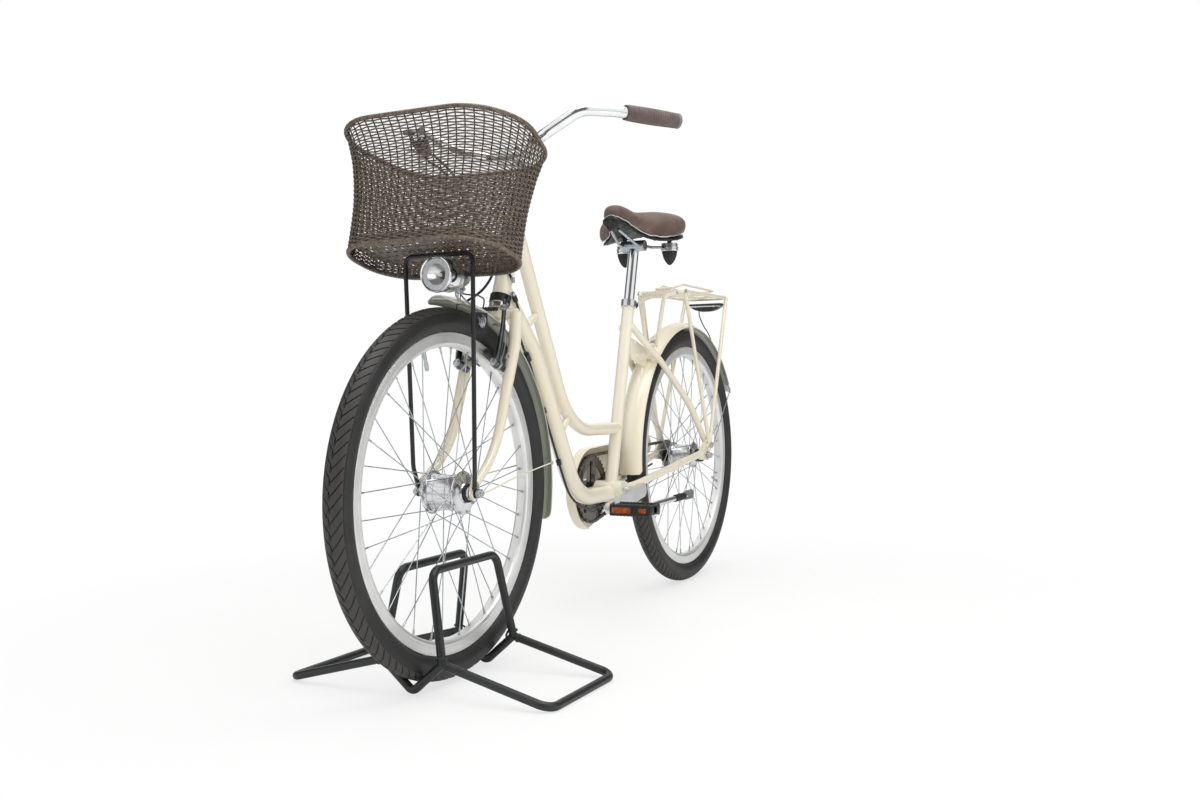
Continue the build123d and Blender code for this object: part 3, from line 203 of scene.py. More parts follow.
def block(centre, half, edge, fine=2):
    """A block with round edges: a ball of the edge's radius cut in eight, the eighths pushed to the corners."""
    half = np.asarray(half, float)
    quarter = np.linspace(0, np.pi / 2, fine + 1)
    rise = np.concatenate([quarter - np.pi / 2, quarter])
    way = np.concatenate([quarter + step * np.pi / 2 for step in range(4)])
    signs_up = np.repeat([-1.0, 1.0], fine + 1)
    east = np.repeat([1.0, -1.0, -1.0, 1.0], fine + 1)
    north = np.repeat([1.0, 1.0, -1.0, -1.0], fine + 1)
    flat = np.ones_like(rise)[:, None]
    level, height = np.cos(rise)[:, None], np.sin(rise)[:, None]
    ball = np.stack([level * np.cos(way), level * np.sin(way), height + 0 * way], axis=-1)
    signs = np.stack([flat * east, flat * north, signs_up[:, None] + 0 * way], axis=-1)
    points = signs * (half - edge) + edge * ball
    poles = [np.broadcast_to([0, 0, sign * half[2]], (1, len(way), 3)) for sign in (-1, 1)]
    points = np.concatenate([poles[0], points, poles[1]])[::-1]
    return grid(np.asarray(centre) + points, close_columns=True)


def plate(outline, thickness, bevel, centre, x, y):
    """A flat plate: an (n, 2) outline, anticlockwise in the directions x and y, its edge broken by a bevel."""
    outline = np.asarray(outline, float)
    x, y = unit(x), unit(y)
    middle = outline.mean(axis=0)
    inner = middle + (outline - middle) * (1 - bevel / np.linalg.norm(outline - middle, axis=1).mean())
    half, point = thickness / 2, middle + 0 * outline
    rows = [(point, half), (inner, half), (outline, half - bevel)]
    rows += [(outline, bevel - half), (inner, -half), (point, -half)]
    normal = np.cross(x, y)
    points = np.stack([flat[:, :1] * x + flat[:, 1:] * y + height * normal for flat, height in rows])
    return grid(np.asarray(centre) + points, close_columns=True)


def rounded(corners, radii, fine=5):
    """The outline of a polygon with each corner replaced by an arc of its radius. Corners go anticlockwise."""
    corners = np.asarray(corners, float)
    before = unit(np.roll(corners, 1, axis=0) - corners)
    after = unit(np.roll(corners, -1, axis=0) - corners)
    half = np.arccos(np.clip((before * after).sum(axis=1), -1, 1)) / 2
    radii = np.broadcast_to(radii, len(corners))
    centres = corners + unit(before + after) * (radii / np.sin(half))[:, None]
    first = corners + before * (radii / np.tan(half))[:, None] - centres
    turn = np.linspace(0, 1, fine)[None, :] * (np.pi - 2 * half)[:, None]
    cos, sin = np.cos(turn)[..., None], np.sin(turn)[..., None]
    quarter = np.stack([-first[:, 1], first[:, 0]], axis=1)
    return (centres[:, None] + cos * first[:, None] + sin * quarter[:, None]).reshape(-1, 2)


def evenly(line, count, closed=False):
    """Points spread evenly by length along a line."""
    line = np.vstack([line, line[:1]]) if closed else np.asarray(line, float)
    run = np.concatenate([[0], np.cumsum(np.linalg.norm(np.diff(line, axis=0), axis=1))])
    at = np.linspace(0, run[-1], count, endpoint=not closed)
    return np.stack([np.interp(at, run, line[:, k]) for k in range(line.shape[1])], axis=1)


def smooth_line(points, steps=8):
    """A smooth line through points: between two it leans on the ones before and after (Catmull and Rom)."""
    points = np.asarray(points, float)
    padded = np.vstack([2 * points[0] - points[1], points, 2 * points[-1] - points[-2]])
    t = np.linspace(0, 1, steps, endpoint=False)[None, :, None]
    a, b, c, d = (padded[i:len(padded) - 3 + i, None] for i in range(4))
    line = b + ((c - a) * t + (2 * a - 5 * b + 4 * c - d) * t**2 + (3 * b - a - 3 * c + d) * t**3) / 2
    return np.vstack([line.reshape(-1, points.shape[1]), points[-1]])


def bolt(centre, axis, radius, height):
    """A domed bolt head with its washer, its seat at the centre."""
    washer = [(-0.4, 0), (-0.4, 1.3), (0.2, 1.4), (0.28, 1.3)]
    dome = [(0.28, 0.98), (0.8, 0.92), (1.0, 0.66), (1.0, 0.4), (0.7, 0.34), (0.7, 0)]
    return lathe(np.array(washer + dome) * [height, radius], centre, axis, 18)


def nut(centre, axis, radius, height):
    """A hexagon nut with a rounded outer end: a six-sided outline that is drawn in at the end."""
    outline = [(0, 0), (0, 1), (0.82, 1), (1.0, 0.84), (1.0, 0.5), (1.35, 0.46), (1.35, 0)]
    return lathe(np.array(outline) * [height, radius], centre, axis, 6)


# %% A piece from points and quads
MERGE_DISTANCE = 2e-6


def piece(name, body, part, material, replaces=(), sharp=38.0):
    """Makes a mesh object at the origin, merges doubled points so that seams and poles close, turns its faces
    outwards, and lets it ride on a body. Edges that turn by more than the sharp angle in degrees stay crisp."""
    points, quads = part
    mesh = bpy.data.meshes.new(name)
    mesh.vertices.add(len(points))
    mesh.vertices.foreach_set("co", np.asarray(points, np.float32).ravel())
    mesh.loops.add(quads.size)
    mesh.loops.foreach_set("vertex_index", quads.ravel().astype(np.int32))
    mesh.polygons.add(len(quads))
    mesh.polygons.foreach_set("loop_start", np.arange(0, quads.size, 4, dtype=np.int32))
    mesh.update(calc_edges=True)
    shape = bmesh.new()
    shape.from_mesh(mesh)
    bmesh.ops.remove_doubles(shape, verts=shape.verts, dist=MERGE_DISTANCE)
    bmesh.ops.recalc_face_normals(shape, faces=shape.faces)
    shape.to_mesh(mesh)
    shape.free()
    mesh.validate()
    mesh.polygons.foreach_set("use_smooth", np.ones(len(mesh.polygons), bool))
    mesh.set_sharp_from_angle(angle=math.radians(sharp))
    mesh.materials.append(material)
    made = bpy.data.objects.new(name, mesh)
    scene.collection.objects.link(made)
    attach(made, body)
    if replaces:
        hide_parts(*replaces)
    print(f"{name}: {len(mesh.polygons)} faces")
    return made


# %% [markdown]
# ## Finishes
# A material is named for what the real surface is and how it was made. Its colour is an sRGB hex value,
# which Blender wants as linear light. Two noises do most of the work: a slow one lets the tone drift over
# a panel, and one as fine as the real grain breaks up the highlight and stands a little proud of the surface.


# %% Colours and nodes
def linear(code):
    """An sRGB hex colour as linear red, green, blue and alpha."""
    part = np.array([int(code[i:i + 2], 16) for i in (0, 2, 4)]) / 255
    flat = np.where(part <= 0.04045, part / 12.92, ((part + 0.055) / 1.055) ** 2.4)
    return (*flat.tolist(), 1.0)


def add(tree, kind, values=None, links=None, **settings):
    """Adds a node with its settings, its input values and the sockets that feed it."""
    made = tree.nodes.new(kind)
    for name, value in settings.items():
        setattr(made, name, value)
    for name, value in (values or {}).items():
        made.inputs[name].default_value = value
    for name, socket in (links or {}).items():
        tree.links.new(socket, made.inputs[name])
    return made


def remap(tree, value, source, target=(0, 1), smooth=False):
    """The output of a node that carries a value from one range to another."""
    ends = {"From Min": source[0], "From Max": source[1], "To Min": target[0], "To Max": target[1]}
    way = "SMOOTHSTEP" if smooth else "LINEAR"
    made = add(tree, "ShaderNodeMapRange", ends, {"Value": value}, interpolation_type=way)
    return made.outputs["Result"]


def maths(tree, operation, *terms, kind="ShaderNodeMath", result="Value"):
    """The output of a node that works on terms, each a socket or a plain value."""
    sockets = {place: term for place, term in enumerate(terms) if isinstance(term, bpy.types.NodeSocket)}
    plain = {place: term for place, term in enumerate(terms) if place not in sockets}
    return add(tree, kind, plain, sockets, operation=operation).outputs[result]


def vector_maths(tree, operation, *terms, result="Vector"):
    """The same for vectors."""
    return maths(tree, operation, *terms, kind="ShaderNodeVectorMath", result=result)


def finish(
    name, light, dark, roughness, spread=0.03, cloud=0.06, grain=0.001, depth=0.0, stretch=(1, 1, 1), **shader
):
    """A finish whose colour drifts between two tones over cloud metres, and whose roughness wavers by spread.
    Its grain of the given size in metres stands depth metres proud, and stretch draws it out along an axis."""
    material = bpy.data.materials.new(name)
    material.use_nodes = True
    tree = material.node_tree
    body = tree.nodes["Principled BSDF"]
    place = add(tree, "ShaderNodeTexCoord").outputs["Object"]
    slow = add(tree, "ShaderNodeTexNoise", {"Scale": 1 / cloud, "Detail": 2.0}, {"Vector": place})
    ramp = add(tree, "ShaderNodeValToRGB", links={"Fac": slow.outputs["Fac"]})
    for element, position, code in zip(ramp.color_ramp.elements, (0.36, 0.64), (dark, light)):
        element.position = position
        element.color = linear(code)
    tree.links.new(ramp.outputs["Color"], body.inputs["Base Color"])
    drawn = add(tree, "ShaderNodeMapping", {"Scale": stretch}, {"Vector": place})
    fine = add(
        tree, "ShaderNodeTexNoise", {"Scale": 1 / grain, "Detail": 3.0}, {"Vector": drawn.outputs["Vector"]}
    )
    waver = remap(tree, fine.outputs["Fac"], (0, 1), (roughness - spread, roughness + spread))
    tree.links.new(waver, body.inputs["Roughness"])
    if depth:
        bump = add(
            tree, "ShaderNodeBump", {"Strength": 1.0, "Distance": depth}, {"Height": fine.outputs["Fac"]}
        )
        tree.links.new(bump.outputs["Normal"], body.inputs["Normal"])
    for socket, value in shader.items():
        body.inputs[socket.replace("_", " ")].default_value = value
    return material


def second_tone(material, share, code):
    """Turns a finish's colour into another one as share goes from nought to one."""
    tree = material.node_tree
    first = tree.nodes["Color Ramp"].outputs["Color"]
    tone = add(tree, "ShaderNodeMix", {7: linear(code)}, {0: share, 6: first}, data_type="RGBA")
    tree.links.new(tone.outputs[2], tree.nodes["Principled BSDF"].inputs["Base Color"])
    return material


# %% [markdown]
# The frame is sprayed in a warm ivory enamel under clear lacquer: the lacquer is a coat with its own sharp
# highlight, and its orange peel is waves some 4 mm long and a few thousandths deep. Chrome and polished
# alloy are metals whose tone is nearly white and whose roughness tells them apart. Powder coat is black
# plastic melted on, with a fine even pebble. Rubber is dark grey, never black, and scatters light widely.

# %% The finishes
def enamel(name, light, dark):
    """Ivory enamel under its lacquer."""
    lacquer = {"Coat_Weight": 0.8, "Coat_Roughness": 0.04, "IOR": 1.5}
    return finish(name, light, dark, 0.22, 0.02, 0.3, 0.004, 0.00002, **lacquer)


IVORY = enamel("ivory_enamel", "ECE5D2", "E8DFC8")
CHROME = finish("bright_chrome", "F1F2F3", "E6E8EA", 0.07, 0.03, 0.05, 0.003, Metallic=1.0)
ALLOY = finish("polished_alloy", "DEDFE0", "D3D4D6", 0.2, 0.04, 0.04, 0.0009, 0.000006, (1, 1, 5), Metallic=1.0)
RIM_ALLOY = finish("anodised_rim_alloy", "F5F5F4", "ECEDEC", 0.5, 0.05, 0.05, 0.0007, 0.000005, Metallic=1.0)
ZINC = finish("bright_zinc_steel", "C9CCCF", "B3B7BC", 0.32, 0.07, 0.02, 0.0008, 0.00001, Metallic=1.0)
CHAIN_STEEL = finish("oiled_chain_steel", "8B857C", "5F5A53", 0.36, 0.1, 0.012, 0.0012, 0.00002, Metallic=1.0)
POWDER = finish(
    "black_powder_coat", "1E1F21", "17181A", 0.42, 0.06, 0.08, 0.0012, 0.00006, IOR=1.5, Coat_Weight=0.15
)
GLOSS_BLACK = finish(
    "glossy_black_enamel", "1B1C1E", "131415", 0.16, 0.05, 0.04, 0.0012, 0.00001, IOR=1.5, Coat_Weight=0.6
)
TYRE = finish("tyre_rubber", "262627", "1B1B1C", 0.66, 0.08, 0.05, 0.0016, 0.00005, IOR=1.52)
RUBBER = finish("moulded_black_rubber", "242425", "1A1A1B", 0.6, 0.08, 0.03, 0.0012, 0.00004, IOR=1.52)
PLASTIC = finish("moulded_black_plastic", "202123", "18191A", 0.4, 0.08, 0.03, 0.0008, 0.00002, IOR=1.49)
GREY = finish("grey_moulded_rubber", "7E8183", "6C6F71", 0.55, 0.06, 0.02, 0.001, 0.00003)
FOAM = finish("brown_foam_grip", "685955", "574945", 0.72, 0.06, 0.02, 0.0011, 0.00012, Sheen_Weight=0.25)
RATTAN = finish("brown_rattan_strand", "786A5E", "4F443A", 0.4, 0.1, 0.006, 0.0016, 0.00012, IOR=1.49)
DARK_RATTAN = finish("dark_rattan_strand", "453B34", "302925", 0.42, 0.1, 0.006, 0.0016, 0.0001, IOR=1.49)
STRIPE = finish("reflective_tape", "D6D8D6", "C2C5C4", 0.3, 0.05, 0.004, 0.0012, 0.00003, Metallic=0.4)
REFLECTOR = finish("silvered_reflector", "FDFDFC", "F6F6F5", 0.34, 0.02, 0.02, 0.002, Metallic=1.0)
RED = finish(
    "red_lens_plastic", "B3131A", "8E0C12", 0.12, 0.02, 0.012, 0.003, 0.00008, Transmission_Weight=0.35,
    IOR=1.49
)
ARM_ALLOY = finish("dark_anodised_alloy", "6B6D71", "53555A", 0.2, 0.06, 0.02, 0.001, 0.000006, Metallic=1.0)
AMBER = finish(
    "amber_lens_plastic", "C4651C", "8F430F", 0.14, 0.02, 0.008, 0.003, 0.0001, Transmission_Weight=0.3,
    IOR=1.49
)
FROST = finish("frosted_lens_plastic", "F1F3F4", "DDE0E2", 0.35, 0.05, 0.004, 0.0012, 0.00006, IOR=1.49)
GLASS = finish(
    "clear_lens_plastic", "FFFFFF", "FBFCFD", 0.012, 0.006, 0.02, 0.003, Transmission_Weight=1.0, IOR=1.3
)
WINDOW = finish("smoked_lens_plastic", "2C3440", "1D232C", 0.08, 0.02, 0.02, 0.003, Coat_Weight=1.0, IOR=1.49)
print(len(bpy.data.materials), "materials")

# %% [markdown]
# Synthetic leather is a soft film pressed with a hide's grain: small rounded cells about a millimetre and a
# half across with fine valleys between them. A cell pattern gives the valleys, and a slow noise the tone.


# %% Grained leather
def grained_leather(name, light, dark):
    """Leather whose bump is the distance to the nearest cell edge, softened by noise."""
    material = finish(name, light, dark, 0.46, 0.08, 0.03, 0.0015, Sheen_Weight=0.1)
    tree = material.node_tree
    place = add(tree, "ShaderNodeTexCoord").outputs["Object"]
    cells = add(tree, "ShaderNodeTexVoronoi", {"Scale": 560.0}, {"Vector": place}, feature="DISTANCE_TO_EDGE")
    valley = remap(tree, cells.outputs["Distance"], (0, 0.25))
    bump = add(tree, "ShaderNodeBump", {"Strength": 0.8, "Distance": 0.00025}, {"Height": valley})
    tree.links.new(bump.outputs["Normal"], tree.nodes["Principled BSDF"].inputs["Normal"])
    return material


LEATHER = grained_leather("brown_leather", "624C43", "533F37")

# %% [markdown]
# The solids whose shape is already right keep it and take a finish. Their slot names say which.

# %% Paint the solids that stay
SLOT_FINISH = {
    "cream_paint": IVORY, "polished_aluminium": ALLOY, "chrome": CHROME, "steel": ZINC,
    "dark_steel": CHAIN_STEEL, "black_steel": POWDER, "tyre_rubber": TYRE, "black_rubber": RUBBER,
    "black_plastic": PLASTIC, "grey_rubber": GREY, "brown_grip": FOAM, "brown_leather": LEATHER,
    "brown_rattan": RATTAN, "red_lens": RED
}
for node in frame["nodes"].values():
    for slot in node.material_slots:
        slot.material = SLOT_FINISH[slot.material.name.split(".")[0]]
print(len(frame["nodes"]), "solids painted")

# %% [markdown]
# ## Tyres
# A city tyre is a rubber tube whose crown carries a tread: from a zigzag line in the middle, curved grooves
# run out to both shoulders by turns, like the veins of a leaf. The grid's columns are sheared to run along
# the grooves, so that each is cut by whole columns and stays sharp with few faces. The section is one closed
# loop, outside and inside, carried round the axle. The road dusts the tread grey and leaves the grooves dark,
# so the rubber's tone follows the depth below the section's circle, which the material works out by itself.

# %% Tyre with a leaf tread
TYRE_TOP = node_box("rear_tyre")[1][2] - REAR_AXLE[2]
SECTION = 0.0235
TYRE_WALL = 0.004
GROOVES = 98
GROOVE_DEPTH = 0.0017
GROOVE_LEAN = 0.026
TREAD_PITCH = 2 * math.pi * TYRE_TOP / GROOVES


def tyre_surface(axle):
    """Angle p from the crown, place u round the wheel: radius = middle + (section - groove(p, u)) cos p.
    A column is moved on by 26 mm times (|p| / 52 degrees) to the power 1.3, and by half a pitch on one side."""
    shares = np.array([0.0, 0.03, 0.15, 0.18, 0.45, 0.72])
    crown = np.linspace(-62, 62, 41)
    side = np.array([-150, -143, -136, -128, -120, -113, -107, -101, -95, -88, -80, -71.0])
    outside = np.concatenate([side, crown, -side[::-1]])
    inside = outside[::6][::-1]
    degrees = np.concatenate([outside, inside])[None, :]
    section_angle = np.radians(degrees)
    wall = TYRE_WALL * np.concatenate([0 * outside, 0 * inside + 1])[None, :]
    share = (np.arange(GROOVES)[:, None] + shares).reshape(-1, 1)
    width = np.abs(degrees)
    step = np.clip((3 - degrees) / 6, 0, 1)
    lean = GROOVE_LEAN * np.clip(width / 52, 0, 1) ** 1.3 + TREAD_PITCH / 2 * step
    turn = (share * TREAD_PITCH + lean) / TYRE_TOP
    cut = np.tile([0, 1, 1, 0, 0, 0], GROOVES)[:, None] * np.clip((55 - width) / 4, 0, 1)
    zigzag = 5 * (np.abs(2 * (share % 1) - 1) - 0.5) * 2
    middle = np.clip(1.3 - np.abs(degrees - zigzag) / 3, 0, 1)
    shoulder = 0.6 * np.clip(1 - np.abs(width - 58) / 3, 0, 1)
    groove = GROOVE_DEPTH * np.maximum(np.maximum(cut, middle), shoulder) * (wall == 0)
    rib = 0.0003 * ((np.abs(width - 101) < 2) | (np.abs(width - 120) < 2)) * (wall == 0)
    reach = SECTION - wall - groove + rib
    radius = TYRE_TOP - SECTION + reach * np.cos(section_angle)
    y = reach * np.sin(section_angle) + 0 * turn
    return grid(axle + np.stack([radius * np.cos(turn), y, radius * np.sin(turn)], axis=-1), True, True)


def from_axle(tree, axle):
    """A surface's normal, its place's offset from an axle, and the part of the offset square to the axle."""
    place = add(tree, "ShaderNodeTexCoord").outputs
    offset = vector_maths(tree, "SUBTRACT", place["Object"], tuple(axle))
    return place["Normal"], offset, vector_maths(tree, "MULTIPLY", offset, (1, 0, 1))


def dusted_rubber(name, axle):
    """Dark rubber that turns to dusty grey where the tread still has its full height."""
    material = finish(name, "232323", "1A1A1A", 0.52, 0.08, 0.05, 0.0014, 0.00003, IOR=1.52)
    tree = material.node_tree
    _, offset, square = from_axle(tree, axle)
    distance = vector_maths(tree, "LENGTH", square, result="Value")
    up = maths(tree, "SUBTRACT", distance, TYRE_TOP - SECTION)
    left = add(tree, "ShaderNodeSeparateXYZ", links={"Vector": offset}).outputs["Y"]
    section = add(tree, "ShaderNodeCombineXYZ", links={"X": up, "Y": left}).outputs["Vector"]
    reach = vector_maths(tree, "LENGTH", section, result="Value")
    full = remap(tree, reach, (SECTION - 0.0012, SECTION - 0.0003))
    crown = remap(tree, up, (0.0118, 0.0135))
    return second_tone(material, maths(tree, "MULTIPLY", full, crown), "373534")


for wheel, axle in (("front", FRONT_AXLE), ("rear", REAR_AXLE)):
    rubber = dusted_rubber(f"{wheel}_dusted_rubber", axle)
    piece(
        f"{wheel}_tyre_tread", f"{wheel}_wheel", tyre_surface(axle), rubber, [f"{wheel}_tyre"],
        30
    )

# %% [markdown]
# ## Rims, spokes and hubs
# Each wheel has 36 spokes, laced in crossing pairs: a spoke hooks through a hole in the hub's flange, turns
# a right angle and runs to a nipple in the rim, leaning a spoke hole's pitch forwards or back. Straight bars
# in the solids stand for them. Here each gets its hook, its head and its nipple.

# %% Laced spokes
SPOKES_A_SIDE = 18
SPOKE_LEAN = 54
RIM_FACE = 0.2592


def spoke_ends(axle, flange_radius, flange_side):
    """Hub ends, rim ends and heads: the rim's holes are evenly spread, the hub's lean 54 degrees on or back."""
    index = np.arange(SPOKES_A_SIDE)
    lean = np.where(index % 2 == 0, 1, -1)
    hub_ends, rim_ends, flange_ends = [], [], []
    for side, first in ((-1, 0.75), (1, 0.25)):
        angle = 360 * (index + first) / SPOKES_A_SIDE
        hub_angle = angle + lean * SPOKE_LEAN
        seat = side * (flange_side + lean * 0.0031)
        hub_ends.append(around(axle, flange_radius - 0.003, hub_angle, seat))
        flange_ends.append(
            around(axle, flange_radius - 0.0032, hub_angle, side * (flange_side - lean * 0.0034))
        )
        rim_ends.append(around(axle, RIM_FACE, angle, side * 0.003))
    return np.concatenate(hub_ends), np.concatenate(rim_ends), np.concatenate(flange_ends)


def laced_spokes(axle, flange_radius, flange_side):
    """A hooked wire for each spoke, a button head on the flange and a nipple at the rim."""
    hub, rim, head = spoke_ends(axle, flange_radius, flange_side)
    along = unit(rim - hub)
    out = unit(hub - head)
    bend = [hub - 0.0009 * out + 0.0009 * along, hub + 0.0026 * along]
    hook = [head, head + 0.8 * (hub - head), *bend, rim - 0.012 * along, rim]
    wires = tubes(np.stack(hook, axis=1), 0.001, 8, reference=np.array([0.3, 0.2, 0.93]))
    button = mm([(-1.4, 0), (-1, 1.3), (-0.4, 1.9), (0, 1.9), (0, 0)])
    askew = unit(np.cross(out, along))
    heads = repeated(lathe(button, np.zeros(3), UP, 10), head, askew, unit(np.cross(out, askew)), out)
    sleeve = mm([(-12.5, 0), (-12.5, 1.2), (-11.8, 1.7), (-2, 1.8), (-1.5, 2.8), (0, 2.9), (0, 0)])
    across = unit(np.cross(along, LEFT))
    nipples = repeated(lathe(sleeve, np.zeros(3), UP, 8), rim, across, unit(np.cross(along, across)), along)
    return joined(wires, heads, nipples)


# %% [markdown]
# A rim is an extruded channel bent into a hoop. Its sides are turned bright where the brake rubs, and fine
# turning rings are left there. The hub shells are turned and polished: a dynamo drum in front, wider than an
# ordinary hub, and a geared drum behind. A black seal and a dust ring close each end.


# %% Rims and hubs turned from their outlines
def rim_surface(axle):
    """A closed channel outline turned about the axle, with two fine steps on each side where the brake rubs."""
    half = mm(
        [
            (0, 259.4), (6.8, 259.4), (10.8, 262.2), (12.9, 266), (12.95, 270.5), (12.68, 270.9),
            (12.95, 271.3), (13, 281.8), (12.7, 282.2), (13, 282.6), (12.9, 284.5), (12.2, 285.2),
            (11.4, 284.6), (11.4, 276.5), (0, 276.5)
        ]
    )
    outline = np.vstack([half * [-1, 1], half[::-1]])
    return lathe(outline, axle, LEFT, 180)


def hub_surface(axle, flange_radius, flange_side, drum_radius, half_width):
    """A drum between two flanges that thin towards their rims, and a stepped neck out to each end."""
    edge, rise = flange_radius, flange_radius - drum_radius
    half = np.array(
        [
            (0.0, drum_radius), (flange_side - 0.009, drum_radius), (flange_side - 0.005, drum_radius + 0.0012),
            (flange_side - 0.0024, drum_radius + 0.4 * rise), (flange_side - 0.0015, edge - 0.0012),
            (flange_side - 0.0005, edge), (flange_side + 0.0008, edge), (flange_side + 0.0016, edge - 0.0012),
            (flange_side + 0.0017, drum_radius - 0.002), (flange_side + 0.003, drum_radius - 0.006),
            (flange_side + 0.0055, 0.0185), (flange_side + 0.008, 0.0162), (half_width - 0.005, 0.0145),
            (half_width - 0.0048, 0.0128), (half_width, 0.0124), (half_width, 0.0)
        ]
    )
    return lathe(np.vstack([half[::-1] * [-1, 1], half]), axle, LEFT, 72)


def ring_surface(axle, inner, outer, side_from, side_to):
    """A flat ring with broken edges between two distances from the middle."""
    low, high = sorted((side_from, side_to))
    cut = min(0.0006, (high - low) / 4)
    outline = [
        (low, inner), (low, outer - cut), (low + cut, outer), (high - cut, outer), (high, outer - cut),
        (high, inner), (low, inner)
    ]
    return lathe(outline, axle, LEFT, 48)


HUB_SIZES = {"front": (0.039, 0.031, 0.032, 0.049), "rear": (0.034, 0.028, 0.027, 0.059)}
for wheel, axle in (("front", FRONT_AXLE), ("rear", REAR_AXLE)):
    body, size = f"{wheel}_wheel", HUB_SIZES[wheel]
    flange_radius, flange_side, drum_radius, half_width = size
    piece(
        f"{wheel}_rim_channel", body, rim_surface(axle), RIM_ALLOY, [f"{wheel}_rim"], 25
    )
    piece(
        f"{wheel}_laced_spokes", body, laced_spokes(axle, flange_radius, flange_side), ZINC,
        [f"{wheel}_spokes"]
    )
    piece(
        f"{wheel}_hub_shell", body, hub_surface(axle, *size), ALLOY, [f"{wheel}_hub"], 25
    )
    seal, line = (flange_side + 0.0078, half_width - 0.0048), (drum_radius - 0.002, drum_radius + 0.0006)
    seals = [ring_surface(axle, 0.012, 0.0168, side * seal[0], side * seal[1]) for side in SIDES]
    lines = [ring_surface(axle, *line, side * 0.012, side * 0.0132) for side in SIDES]
    piece(f"{wheel}_hub_seals", body, joined(*seals), RUBBER)
    piece(f"{wheel}_hub_rings", body, joined(*lines), ZINC)

# %% [markdown]
# A tube's valve stands through the rim: a plated brass stem that ends in a slightly wider cap.


# %% Valves
def valve(axle, angle):
    """A stem that points from the rim towards the hub."""
    inward = -around(np.zeros(3), 1.0, angle)
    stem = mm([(0, 0), (0, 3.6), (2.5, 3.6), (2.5, 3), (22, 3), (22.2, 3.7), (34, 3.7), (35.5, 3), (35.5, 0)])
    return lathe(stem, axle - inward * 0.2598, inward, 12)


for wheel, axle, angle in (("front", FRONT_AXLE, 75), ("rear", REAR_AXLE, 200)):
    piece(f"{wheel}_valve", f"{wheel}_wheel", valve(axle, angle), ZINC)

# %% [markdown]
# ## Mudguards
# A mudguard blade is rolled from thin sheet: an arc across, a larger arc along, its edges turned over into a
# bead and its front corners rounded. The outside is ivory enamel. The inside is a darker grey-green, painted
# shade, which the material gives to whatever faces the axle.


# %% Blade, bead and painted inner shade
def enamel_with_painted_shade(name, axle):
    """Ivory where a face looks away from the axle, and a painted grey-green shade where it looks towards it."""
    material = enamel(name, "F2EBD6", "EEE5CC")
    tree = material.node_tree
    normal, _, square = from_axle(tree, axle)
    facing = vector_maths(tree, "DOT_PRODUCT", normal, square, result="Value")
    # A7AD98 is painted shade: the blade's inner side is darkened wherever it faces the axle.
    return second_tone(material, remap(tree, facing, (0.01, -0.03)), "A7AD98")


GUARD_TOP, GUARD_HALF, GUARD_SAG = 0.350, 0.028, 0.013
GUARD_ARC = (GUARD_HALF**2 + GUARD_SAG**2) / (2 * GUARD_SAG)
GUARD_THICK = 0.0016


def guard_blade(axle, start, end, corner):
    """Radius = top - arc + sqrt(arc squared - y squared), between two angles in degrees. Near its ends the half
    width follows a quarter circle of the corner's radius. The inner wall lies the blade's thickness inside."""
    angle = np.linspace(start, end, 150)
    run = np.radians(np.minimum(angle - start, end - angle)) * GUARD_TOP
    drawn = np.clip(corner - run, 0, corner)
    half = GUARD_HALF - corner + np.sqrt(np.maximum(corner**2 - drawn**2, 0))
    across = np.linspace(-1, 1, 25)[None, :] * half[:, None]
    walls = []
    for thick, order in ((0.0, 1), (GUARD_THICK, -1)):
        radius = GUARD_TOP - GUARD_ARC + np.sqrt((GUARD_ARC - thick) ** 2 - (across * (1 - thick * 12)) ** 2)
        walls.append(around(axle, radius, angle[:, None], across)[:, ::order])
    middle = (walls[0] + walls[1][:, ::-1]) / 2
    shut = np.concatenate([middle, middle[:, ::-1]], axis=1)
    shell = np.concatenate([shut[:1], np.concatenate(walls, axis=1), shut[-1:]])
    rim = np.concatenate([middle[:, 0], middle[-1, 1:-1], middle[::-1, -1], middle[0, -2:0:-1]])
    return joined(grid(shell, close_columns=True), tube(evenly(rim, 400, True), 0.0015, 8, True, LEFT))


STAY_EYE_SIDE, STAY_END, STAY_END_SIDE = 0.05625, (0.339, 175.0), 0.027


def front_guard_stay(side):
    """A wire from an eye on the axle, bent outwards, to the blade's edge, with its bolt."""
    eye = FRONT_AXLE + LEFT * side * STAY_EYE_SIDE
    end = around(FRONT_AXLE, *STAY_END, side * STAY_END_SIDE)
    out = LEFT * side
    stations = [
        eye - AHEAD * 0.0072, eye - AHEAD * 0.040 + out * 0.0035, eye + (end - eye) * 0.5 + out * 0.0012, end
    ]
    ring = ring_surface(eye, 0.0052, 0.0090, -0.00115, 0.00115)
    return joined(tube(smooth_line(stations, 10), 0.0014, 8), ring, bolt(end + out * 0.001, out, 0.0036, 0.003))


crown_tab = lathe(mm([(0, 0), (0, 5.8), (12.5, 5.8), (12.5, 0)]), on_steering(0.3435), STEER_UP, 20)
front_guard = joined(
    guard_blade(FRONT_AXLE, 86.5, 194.0, 0.016), front_guard_stay(1), front_guard_stay(-1), crown_tab
)
front_enamel = enamel_with_painted_shade("front_guard_enamel", FRONT_AXLE)
piece("front_guard_blade", FORK, front_guard, front_enamel, ["front_mudguard"], 60)
rear_guard = guard_blade(REAR_AXLE, -4.0, 148.0, 0.004)
piece(
    "rear_guard_blade", "frame", rear_guard, enamel_with_painted_shade("rear_guard_enamel", REAR_AXLE),
    ["rear_mudguard"], 60
)

# %% [markdown]
# ## The woven basket
# The basket is plastic rattan. Upright stakes stand 16 mm apart, and a weaver strand goes round them in
# plain weave: outside one stake, inside the next, and the other way round in the row above. Its height above
# the floor follows the wall, which stands straight and then flares out to the rim. Each row of weaver is
# the wall's outline at one height, pushed out and in by a cosine that turns half round from stake to stake.

